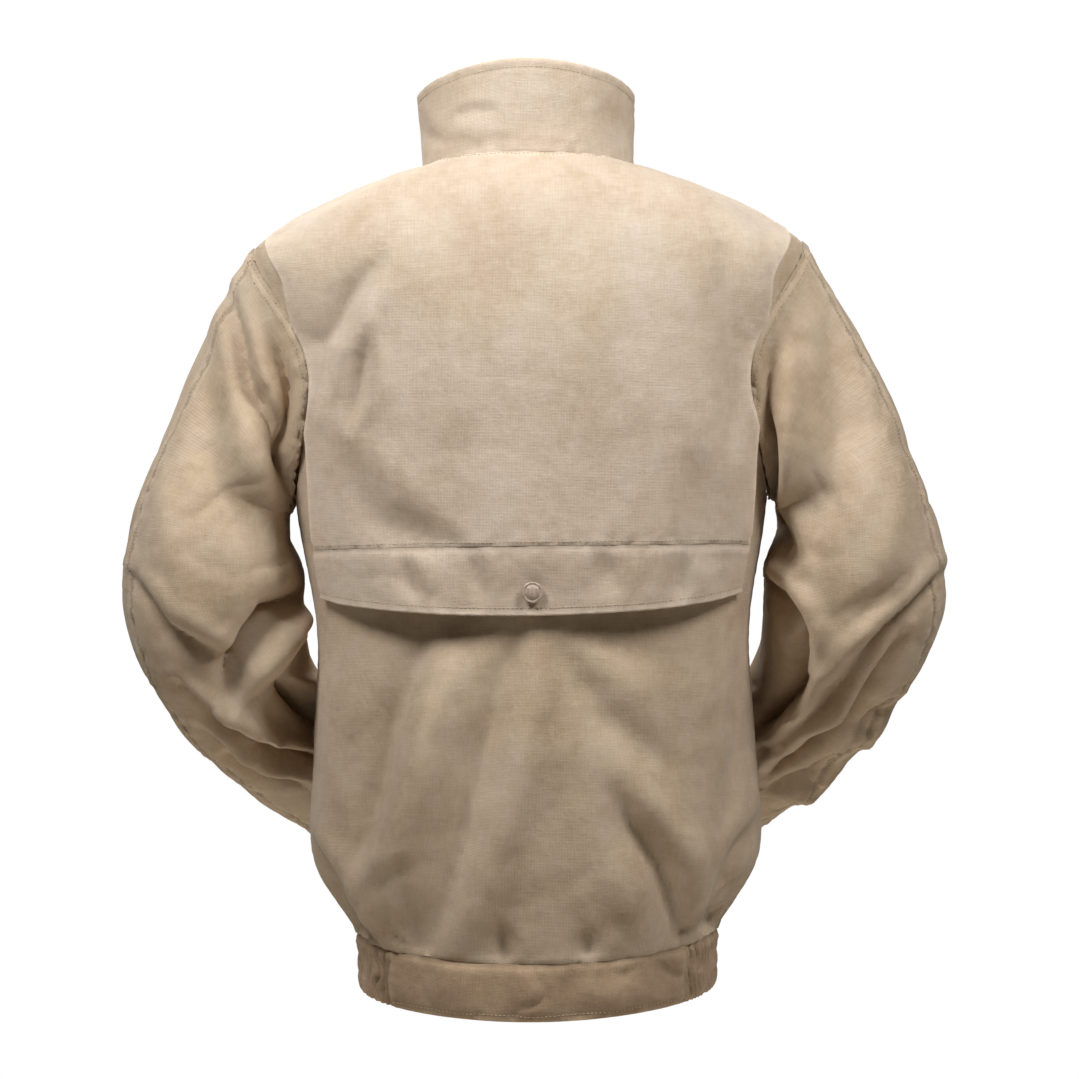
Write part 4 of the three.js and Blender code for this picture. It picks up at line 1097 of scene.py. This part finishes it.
def collar_at(angle, height, out):
    """The stand collar; its top edge falls a little towards the sides."""
    side_fall = np.sin(np.minimum(np.abs(angle), np.pi / 2)) ** 2
    seam = body_surface(angle, np.zeros(np.shape(angle)))[..., 2]
    share = height / COLLAR_HEIGHT
    rise = height - side_fall * COLLAR_SIDE_FALL * share**2
    front = front_line(SECTIONS[0, 4] + rise)
    back = SECTIONS[0, 1] + 0.03 * height
    half_width = NECK_HALF_WIDTH + 0.03 * height
    fuller = 1 + SQUARENESS * np.sin(2 * angle) ** 2
    c = np.cos(angle)
    front_share = smooth((np.abs(angle) - 2.3) / 0.8)
    rise = mix(rise, height, front_share)
    x = (half_width + out) * np.sin(angle) * fuller
    y = (back + front) / 2 + ((back - front) / 2 + out) * c * fuller
    return np.stack([x, y, seam + rise], -1)


def collar_grid(edge, out, foot, top, columns, rows):
    angle = np.linspace(-edge, edge, columns + 1)[None, :]
    height = np.linspace(foot, top, rows + 1)[::-1][:, None]
    angle, height = np.broadcast_arrays(angle, height)
    return collar_at(angle, height, out)


COLLAR_FOLDS = [
    ([(92, 44), (84, 20), (66, 10)], 8, -3.6, 0.4, 0.6),
    ([(58, 30), (40, 34), (22, 33)], 5, -1.6, 0.4, 0.5),
    ([(70, 12), (40, 6), (8, 10)], 7, -1.6, 0.5, 0.5),
    ([(-60, 40), (-74, 22), (-80, 6)], 9, -2.2, 0.6, 0.4),
    ([(-20, 46), (-34, 26), (-30, 10)], 12, -1.4, 0.9, 0.3),
]


def collar_relief(base, normals):
    x, y, z = np.moveaxis(base, -1, 0)
    facing_back = smooth((normals[..., 1] + 0.1) / 0.4)
    height = lumps(base, 60, 41) * 1.8 + lumps(base, 22, 42) * 0.8 + creased(base, 18, 43) * 0.25
    for fold in COLLAR_FOLDS:
        height += fold_height(x, z, *fold) * facing_back
    return height


collar_end = np.pi - FRONT_EDGE / NECK_HALF_WIDTH
collar_facing_end = np.pi - FACING_START / NECK_HALF_WIDTH
panel("collar_outer_cloth", collar_grid(collar_end, 0.8, -3.0, COLLAR_HEIGHT, 190, 26),
      top_lit_canvas, ["collar_outer"], sewn=("bottom",),
      edges=("top", "left", "right"), relief_by=collar_relief, group="collar",
      rows_of_stitches=(("top", 6), ("bottom", 4)), turn=(("top", 1.25, 5),))
panel("collar_facing_cloth", collar_grid(collar_facing_end, -1.5, 1.5, COLLAR_HEIGHT - 1.6, 150, 16),
      lining, ["collar_facing"], thickness=0.8, pucker=0.4,
      relief_by=lambda base, normals: collar_relief(base, normals) - 0.2)
loop_angle = np.linspace(-1, 1, 41)[None, :] * math.radians(19)
loop_height = np.linspace(6.3, 16.7, 6)[:, None]
loop_angle, loop_height = np.broadcast_arrays(loop_angle, loop_height)
loop_bow = 7 * np.cos(loop_angle / math.radians(19) * np.pi / 2)
panel("hang_loop_tape", collar_at(loop_angle, loop_height, -3.6 - loop_bow), tape,
      ["hang_loop"], thickness=1.0, relief_by=lambda base, normals: lumps(base, 12, 44) * 0.3)
sew("collar", thread)

# ---------------------------------------------------------------- sleeves


def sleeve_relief(side):
    def height(base, normals):
        rise = relief(base, normals, sleeve=True)
        rows = base.shape[0]
        way = np.linspace(0, 1, rows)[:, None]
        return rise * smooth(way / 0.05) * smooth((1.0 - way) / 0.05)
    return height


for name, side in (("left", 1), ("right", -1)):
    mirror = np.array([side, 1.0, 1.0])
    ways = np.linspace(0, 1, 171)
    for part, start, end, columns in (("top", UNDER_SEAM - 360, HIND_SEAM, 86),
                                      ("under", HIND_SEAM, UNDER_SEAM, 74)):
        turn = np.radians(np.linspace(start, end, columns + 1))[None, :]
        turn, way = np.broadcast_arrays(turn, ways[:, None])
        base = sleeve_at(turn, way) * mirror
        heart = catmull(ARM[:, :3], way) * mirror
        seam = "right" if part == "top" else "left"
        panel(f"sleeve_{part}_{name}_cloth", base, canvas, [f"sleeve_{part}_{name}"],
              sleeve=True, heart=heart, sewn=("top", "bottom", "left", "right"),
              group=f"sleeve_{name}", relief_by=sleeve_relief(side), pucker=1.7,
              rows_of_stitches=(("top", 3), ("top", 9), (seam, 2.5), ("bottom", 4)))

    def cuff_relief(base, normals):
        rows = base.shape[0]
        share = np.linspace(0, 1, rows)[:, None]
        return (lumps(base, 26, 51) * 1.6 + creased(base, 20, 52) * 0.4
                + 1.2 * np.sin(np.pi * share))

    turn = np.linspace(0, 2 * np.pi, 121)[None, :]
    length = np.linspace(-2, CUFF_LENGTH, 22)[:, None]
    turn, length = np.broadcast_arrays(turn, length)
    cuff = cuff_at(side, turn, length, 1.0)
    heart = cuff.mean(1, keepdims=True)
    panel(f"cuff_{name}_cloth", cuff, shaded_band_canvas, [f"cuff_{name}"], thickness=2.4,
          heart=heart, sewn=("top",), edges=("bottom",), relief_by=cuff_relief,
          group=f"sleeve_{name}", rows_of_stitches=(("bottom", 5), ("top", 4)), closed=True)
    share = np.linspace(0, 1, 41)[None, :]
    cross = np.linspace(-0.5, 0.5, 15)[:, None]
    share, cross = np.broadcast_arrays(share, cross)
    point = 1 - 0.35 * np.clip((share - 0.86) / 0.14, 0, 1) ** 2
    turn = np.radians(TAB_START + TAB_SWEEP * share)
    rise = mix(3.9, 7.9, smooth(share / 0.5))
    tab = cuff_at(side, turn, cross * TAB_WIDTH * point + CUFF_LENGTH / 2, rise)
    panel(f"cuff_tab_{name}_cloth", tab, shaded_band_canvas, [f"cuff_tab_{name}"],
          body=f"tab_{name}", thickness=2.0, heart=np.broadcast_to(heart.mean(0), tab.shape),
          edges=("top", "bottom", "left", "right"), group=f"cuff_tab_{name}", pucker=0.3,
          rows_of_stitches=(("top", 3), ("bottom", 3), ("right", 3)),
          relief_by=lambda base, normals: lumps(base, 20, 53) * 0.5)
    sew(f"sleeve_{name}", thread)
    sew(f"cuff_tab_{name}", thread, f"tab_{name}")

# ---------------------------------------------------------------- waistband


def band_grid(start, end, columns, out=0.5):
    angle = np.radians(np.linspace(start, end, columns + 1))[None, :]
    way = np.linspace(0.997, HEM, 19)[:, None]
    angle, way = np.broadcast_arrays(angle, way)
    return body_at(angle, way, np.full(way.shape, float(out)))


def band_relief(base, normals):
    """A soft turned band: crowned between its seams, with slack creases across it."""
    share = np.linspace(0, 1, base.shape[0])[:, None]
    crown = 4.2 * np.sin(np.pi * share) ** 0.7
    moved = base + np.stack([lumps(base, 30, k + 60) for k in range(3)], -1) * 14
    slack = lumps(moved * np.array([1, 1, 0.5]), 40, 63) * 8.5
    return crown + (slack + creased(moved, 60, 64) * 2.6) * np.sin(np.pi * share) ** 0.5


def gathered_relief(base, normals):
    """Canvas gathered on elastic: narrow upright tucks, pinched by two rows of stitching."""
    x, y, _ = np.moveaxis(base, -1, 0)
    share = np.linspace(0, 1, base.shape[0])[:, None]
    turn = np.arctan2(np.abs(x), y)
    phase = turn * 140 / 8.5 + lumps(base, 18, 71) * 1.5
    tucks = np.abs(np.sin(np.pi * phase)) ** 0.7 - 0.75
    pinch = 1 - 0.55 * np.exp(-(((share - 0.33) / 0.06) ** 2))
    pinch = pinch - 0.55 * np.exp(-(((share - 0.67) / 0.06) ** 2))
    ends = smooth(reach_in(base, "left") / 7) * smooth(reach_in(base, "right") / 7)
    seams = smooth(share / 0.1)
    return 3.2 * np.sin(np.pi * share) ** 0.5 + tucks * 6.6 * pinch * ends * seams


panel("waistband_back_cloth", band_grid(-BACK_BAND_END, BACK_BAND_END, 130), shaded_band_canvas,
      ["waistband_back"], thickness=2.4, sewn=("top", "left", "right"), edges=("bottom",),
      relief_by=band_relief, group="waistband", rows_of_stitches=(("bottom", 5),), held="gathered")
for name, side in (("left", 1), ("right", -1)):
    panel(f"waistband_side_{name}_cloth",
          band_grid(side * (BACK_BAND_END - 1), side * (SIDE_BAND_END + 1), 150, -0.4),
          shaded_band_canvas,
          [f"waistband_side_{name}", f"elastic_{name}"], thickness=2.6, sewn=("top",),
          edges=("bottom",), relief_by=gathered_relief, held="gathered")
    front_end = 180 - math.degrees(FRONT_EDGE / 144)
    panel(f"waistband_front_{name}_cloth",
          band_grid(side * SIDE_BAND_END, side * front_end, 70), shaded_band_canvas,
          [f"waistband_front_{name}"], thickness=2.4, sewn=("top", "left"),
          edges=("bottom", "right"), relief_by=lambda base, normals: band_relief(base, normals) * 0.6,
          group="waistband", rows_of_stitches=(("bottom", 5), ("right", 4)))
sew("waistband", thread)

# ---------------------------------------------------------------- zip

ZIP_TOP = COLLAR_HEIGHT - FRONT_NECK_DROP
ZIP_TURN = -math.atan(FRONT_SLOPE)
ZIP_LENGTH = (ZIP_TOP - SECTIONS[-1, 4]) * math.hypot(1, FRONT_SLOPE)
ZIP_DEPTH = 1.5
TOOTH_PITCH = 2.7
zip_place = Matrix.Translation((0, FRONT_TOP_Y * MM, ZIP_TOP * MM)) @ Matrix.Rotation(ZIP_TURN, 4, "X")


def on_zip(points):
    """Moves points from the zip's own frame, whose -Y points out, to the jacket's."""
    turn = np.array(zip_place.to_3x3())
    return points @ turn.T + np.array([0, FRONT_TOP_Y, ZIP_TOP])


def flat_strip(x0, x1, y0, y1, z0, z1, columns, rows):
    share = np.linspace(0, 1, columns + 1)[None, :]
    z = np.linspace(z1, z0, rows + 1)[:, None]
    share, z = np.broadcast_arrays(share, z)
    return on_zip(np.stack([mix(x0, x1, share), mix(y0, y1, share), z], -1))


for name, side in (("left", 1), ("right", -1)):
    strip = flat_strip(side * 3.9, side * 16, ZIP_DEPTH, 3.7, -ZIP_LENGTH + 2, -6.5, 8, 120)
    panel(f"zip_tape_{name}_woven", strip, tape, [f"zip_tape_{name}"], thickness=0.8,
          relief_by=lambda base, normals: lumps(base, 60, 81) * 0.3)
guard = flat_strip(-14, 22, 5.4, 5.4, -ZIP_LENGTH + 4, -76, 12, 130)
panel("zip_guard_cloth", guard, lining, ["zip_guard"], thickness=1.3,
      edges=("left", "right"), relief_by=lambda base, normals: lumps(base, 50, 82) * 0.4)


def start_shape():
    for shown in bpy.context.selected_objects:
        shown.select_set(False)


def zip_tooth():
    """One cast tooth: a block that narrows to the nose which locks into the next one."""
    start_shape()
    bpy.ops.mesh.primitive_cube_add(size=1, location=(2.4 * MM, 0, 0))
    made = bpy.context.object
    made.scale = (2.4 * MM, 3.0 * MM, 1.25 * MM)
    bpy.ops.object.transform_apply(location=True, scale=True)
    shape = bmesh.new()
    shape.from_mesh(made.data)
    for face in shape.faces:
        face.select_set(face.normal.x < -0.5)
    shape.select_flush_mode()
    shape.to_mesh(made.data)
    shape.free()
    bpy.ops.object.mode_set(mode="EDIT")
    bpy.ops.mesh.select_mode(type="FACE")
    bpy.ops.mesh.inset(thickness=0.25 * MM)
    bpy.ops.mesh.extrude_region_move(TRANSFORM_OT_translate={"value": (-1.35 * MM, 0, 0)})
    bpy.ops.object.mode_set(mode="OBJECT")
    return made


tooth = zip_tooth()
one = np.array([v.co for v in tooth.data.vertices]) / MM
tooth_faces = [list(p.vertices) for p in tooth.data.polygons]
bpy.data.objects.remove(tooth)
chain_bottom = -ZIP_LENGTH + 12
count = int((-6 - chain_bottom) / TOOTH_PITCH)
for name, side in (("left", 1), ("right", -1)):
    corners, faces = [], []
    for k in range(count):
        up = -7.2 - k * TOOTH_PITCH - (0 if side > 0 else TOOTH_PITCH / 2)
        if up < chain_bottom + 0.8:
            continue
        placed = one * np.array([side, 1, 1]) + np.array([0, ZIP_DEPTH, up])
        first = len(corners)
        corners.extend(on_zip(placed))
        faces += [[first + i for i in (f if side > 0 else f[::-1])] for f in tooth_faces]
    data = bpy.data.meshes.new(f"zip_teeth_{name}")
    data.from_pydata((np.array(corners) * MM).tolist(), [], faces)
    teeth = bpy.data.objects.new(f"zip_teeth_{name}", data)
    bpy.context.scene.collection.objects.link(teeth)
    data.materials.append(brass)
    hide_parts(f"zip_chain_{name}")
    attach(teeth, "jacket")


def rounded(node, new_name, look, body, width_mm):
    """A copy of a hard part with its edges rounded as casting and tumbling leave them."""
    start_shape()
    data = NODES[node].data.copy()
    made = bpy.data.objects.new(new_name, data)
    bpy.context.scene.collection.objects.link(made)
    shell = bmesh.new()
    shell.from_mesh(data)
    bmesh.ops.remove_doubles(shell, verts=shell.verts, dist=2e-6)
    bmesh.ops.dissolve_limit(shell, angle_limit=math.radians(2), verts=shell.verts, edges=shell.edges)
    shell.to_mesh(data)
    shell.free()
    bpy.context.view_layer.objects.active = made
    made.select_set(True)
    soften = made.modifiers.new("edges", "BEVEL")
    soften.width = width_mm * MM
    soften.segments = 2
    soften.limit_method = "ANGLE"
    soften.angle_limit = math.radians(32)
    bpy.ops.object.modifier_apply(modifier=soften.name)
    bpy.ops.object.shade_smooth_by_angle(angle=math.radians(40))
    data.materials.clear()
    data.materials.append(look)
    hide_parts(node)
    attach(made, body)
    return made


rounded("zip_slider", "zip_slider_cast", brass, "slider", 0.35)
rounded("zip_pull", "zip_pull_cast", brass, "pull", 0.3)
rounded("zip_box", "zip_box_cast", brass, "jacket", 0.3)
for name in ("left", "right"):
    rounded(f"zip_stop_{name}", f"zip_stop_{name}_cast", brass, "jacket", 0.3)

# ---------------------------------------------------------------- snaps


def domed_cap(node, new_name, body, radius):
    """A pressed snap cap: a low dome inside a raised ring, over a rolled rim."""
    low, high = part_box(node)
    centre = (low + high) / 2
    corners = np.array([v.co for v in NODES[node].data.vertices])
    spread = corners - corners.mean(0)
    ring = np.linalg.svd(spread[np.linalg.norm(spread, axis=1) > radius * 0.7 * MM])[2][2]
    out = Vector(ring)
    if out.dot(centre - Vector((math.copysign(0.16, centre.x) if abs(centre.x) > 0.05 else 0,
                                -0.16 if abs(centre.x) > 0.05 else 0, centre.z))) < 0:
        out = -out
    face = centre + out * (np.max(spread @ np.array(out)) * 1.0 - 3.1 * MM)
    start_shape()
    bpy.ops.mesh.primitive_cylinder_add(vertices=56, radius=radius * MM, depth=1.2 * MM)
    made = bpy.context.object
    made.name = new_name
    made.data.name = new_name
    bpy.ops.object.mode_set(mode="EDIT")
    bpy.ops.mesh.select_all(action="DESELECT")
    bpy.ops.mesh.select_mode(type="FACE")
    bpy.ops.object.mode_set(mode="OBJECT")
    for polygon in made.data.polygons:
        polygon.select = polygon.normal.z > 0.9
    bpy.ops.object.mode_set(mode="EDIT")
    for inset, lift in ((0.5, 0.55), (0.7, 0.25), (0.7, -0.4), (0.5, 0.1), (1.2, 0.75),
                        (1.4, 0.5), (1.6, 0.28), (0.8, 0.06)):
        bpy.ops.mesh.inset(thickness=inset * MM * radius / 8)
        bpy.ops.transform.translate(value=(0, 0, lift * MM))
    bpy.ops.object.mode_set(mode="OBJECT")
    soften = made.modifiers.new("edges", "BEVEL")
    soften.width = 0.25 * MM
    soften.segments = 2
    soften.angle_limit = math.radians(35)
    bpy.ops.object.modifier_apply(modifier=soften.name)
    rounder = made.modifiers.new("round", "SUBSURF")
    rounder.levels = 1
    rounder.render_levels = 1
    bpy.ops.object.modifier_apply(modifier=rounder.name)
    bpy.ops.object.shade_smooth()
    turn = Vector((0, 0, 1)).rotation_difference(out).to_matrix().to_4x4()
    made.data.transform(Matrix.Translation(face + out * 0.8 * MM) @ turn)
    made.data.materials.append(snap_paint)
    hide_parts(node)
    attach(made, body)
    return made


domed_cap("cape_snap_cap", "cape_snap_cap_pressed", "cape_hem", 8.3)
domed_cap("cuff_snap_cap_left", "cuff_snap_cap_left_pressed", "tab_left", 6.6)
domed_cap("cuff_snap_cap_right", "cuff_snap_cap_right_pressed", "tab_right", 6.6)
for node, shown in NODES.items():
    if not shown.hide_render:
        shown.data.materials.clear()
        shown.data.materials.append(brass)

# ---------------------------------------------------------------- floor, light and camera


def studio():
    """A pale floor, a white surround, a large soft light overhead and a weak fill."""
    start_shape()
    bpy.ops.mesh.primitive_circle_add(vertices=96, radius=2.6, fill_type="NGON",
                                      location=(0, 0, -2.0))
    floor = bpy.context.object
    floor.name = "floor"
    floor_look, tree, shader = new_material("pale_studio_floor")
    shader.inputs["Base Color"].default_value = linear("#ECEAE6")
    shader.inputs["Roughness"].default_value = 0.8
    floor.data.materials.append(floor_look)
    world = bpy.data.worlds.new("studio")
    world.use_nodes = True
    bpy.context.scene.world = world
    tree = world.node_tree
    tree.nodes.clear()
    seen = add_node(tree, "Background", {"Color": (1, 1, 1, 1), "Strength": 1.0})
    fill = add_node(tree, "Background", {"Color": linear("#FFF3E2"), "Strength": 0.05})
    path = add_node(tree, "LightPath")
    both = add_node(tree, "MixShader", links={0: path.outputs["Is Camera Ray"],
                                              1: fill.outputs[0], 2: seen.outputs[0]})
    add_node(tree, "OutputWorld", links={"Surface": both.outputs[0]})
    for name, place, target, size, power, colour in (
        ("key_left", (0.7, 0.8, 0.78), (0, 0.1, -0.15), 0.5, 18, "#FCFCFF"),
        ("key_right", (-0.85, 0.85, 0.78), (0, 0.1, -0.15), 0.6, 18, "#FCFCFF"),
        ("front_overhead", (0.3, -1.2, 0.9), (0, -0.1, -0.15), 0.8, 20, "#FFFDFA"),
        ("floor_wash", (0, 0, -0.95), (0, 0.01, -2.0), 1.3, 20, "#FFF6EA"),
    ):
        lamp = bpy.data.lights.new(name, "AREA")
        lamp.shape = "DISK"
        lamp.size = size
        lamp.energy = power
        lamp.color = linear(colour)[:3]
        holder = bpy.data.objects.new(name, lamp)
        holder.location = place
        aim = Vector(target) - Vector(place)
        holder.rotation_euler = aim.to_track_quat("-Z", "Y").to_euler()
        holder.visible_camera = False
        bpy.context.scene.collection.objects.link(holder)


def back_camera():
    """Looks at the back, level with the middle of the jacket, leaning a little."""
    camera = bpy.data.cameras.new("back_camera")
    camera.sensor_width = 36
    camera.lens = 133.4
    holder = bpy.data.objects.new("back_camera", camera)
    look = Vector((0, -1, 0)).to_track_quat("-Z", "Y").to_matrix().to_4x4()
    lean = Matrix.Rotation(math.radians(-0.75), 4, "Z")
    holder.matrix_world = Matrix.Translation((-0.006, 3.2, -0.303)) @ look @ lean
    bpy.context.scene.collection.objects.link(holder)
    bpy.context.scene.camera = holder


studio()
back_camera()
bpy.context.scene.view_settings.view_transform = "Standard"
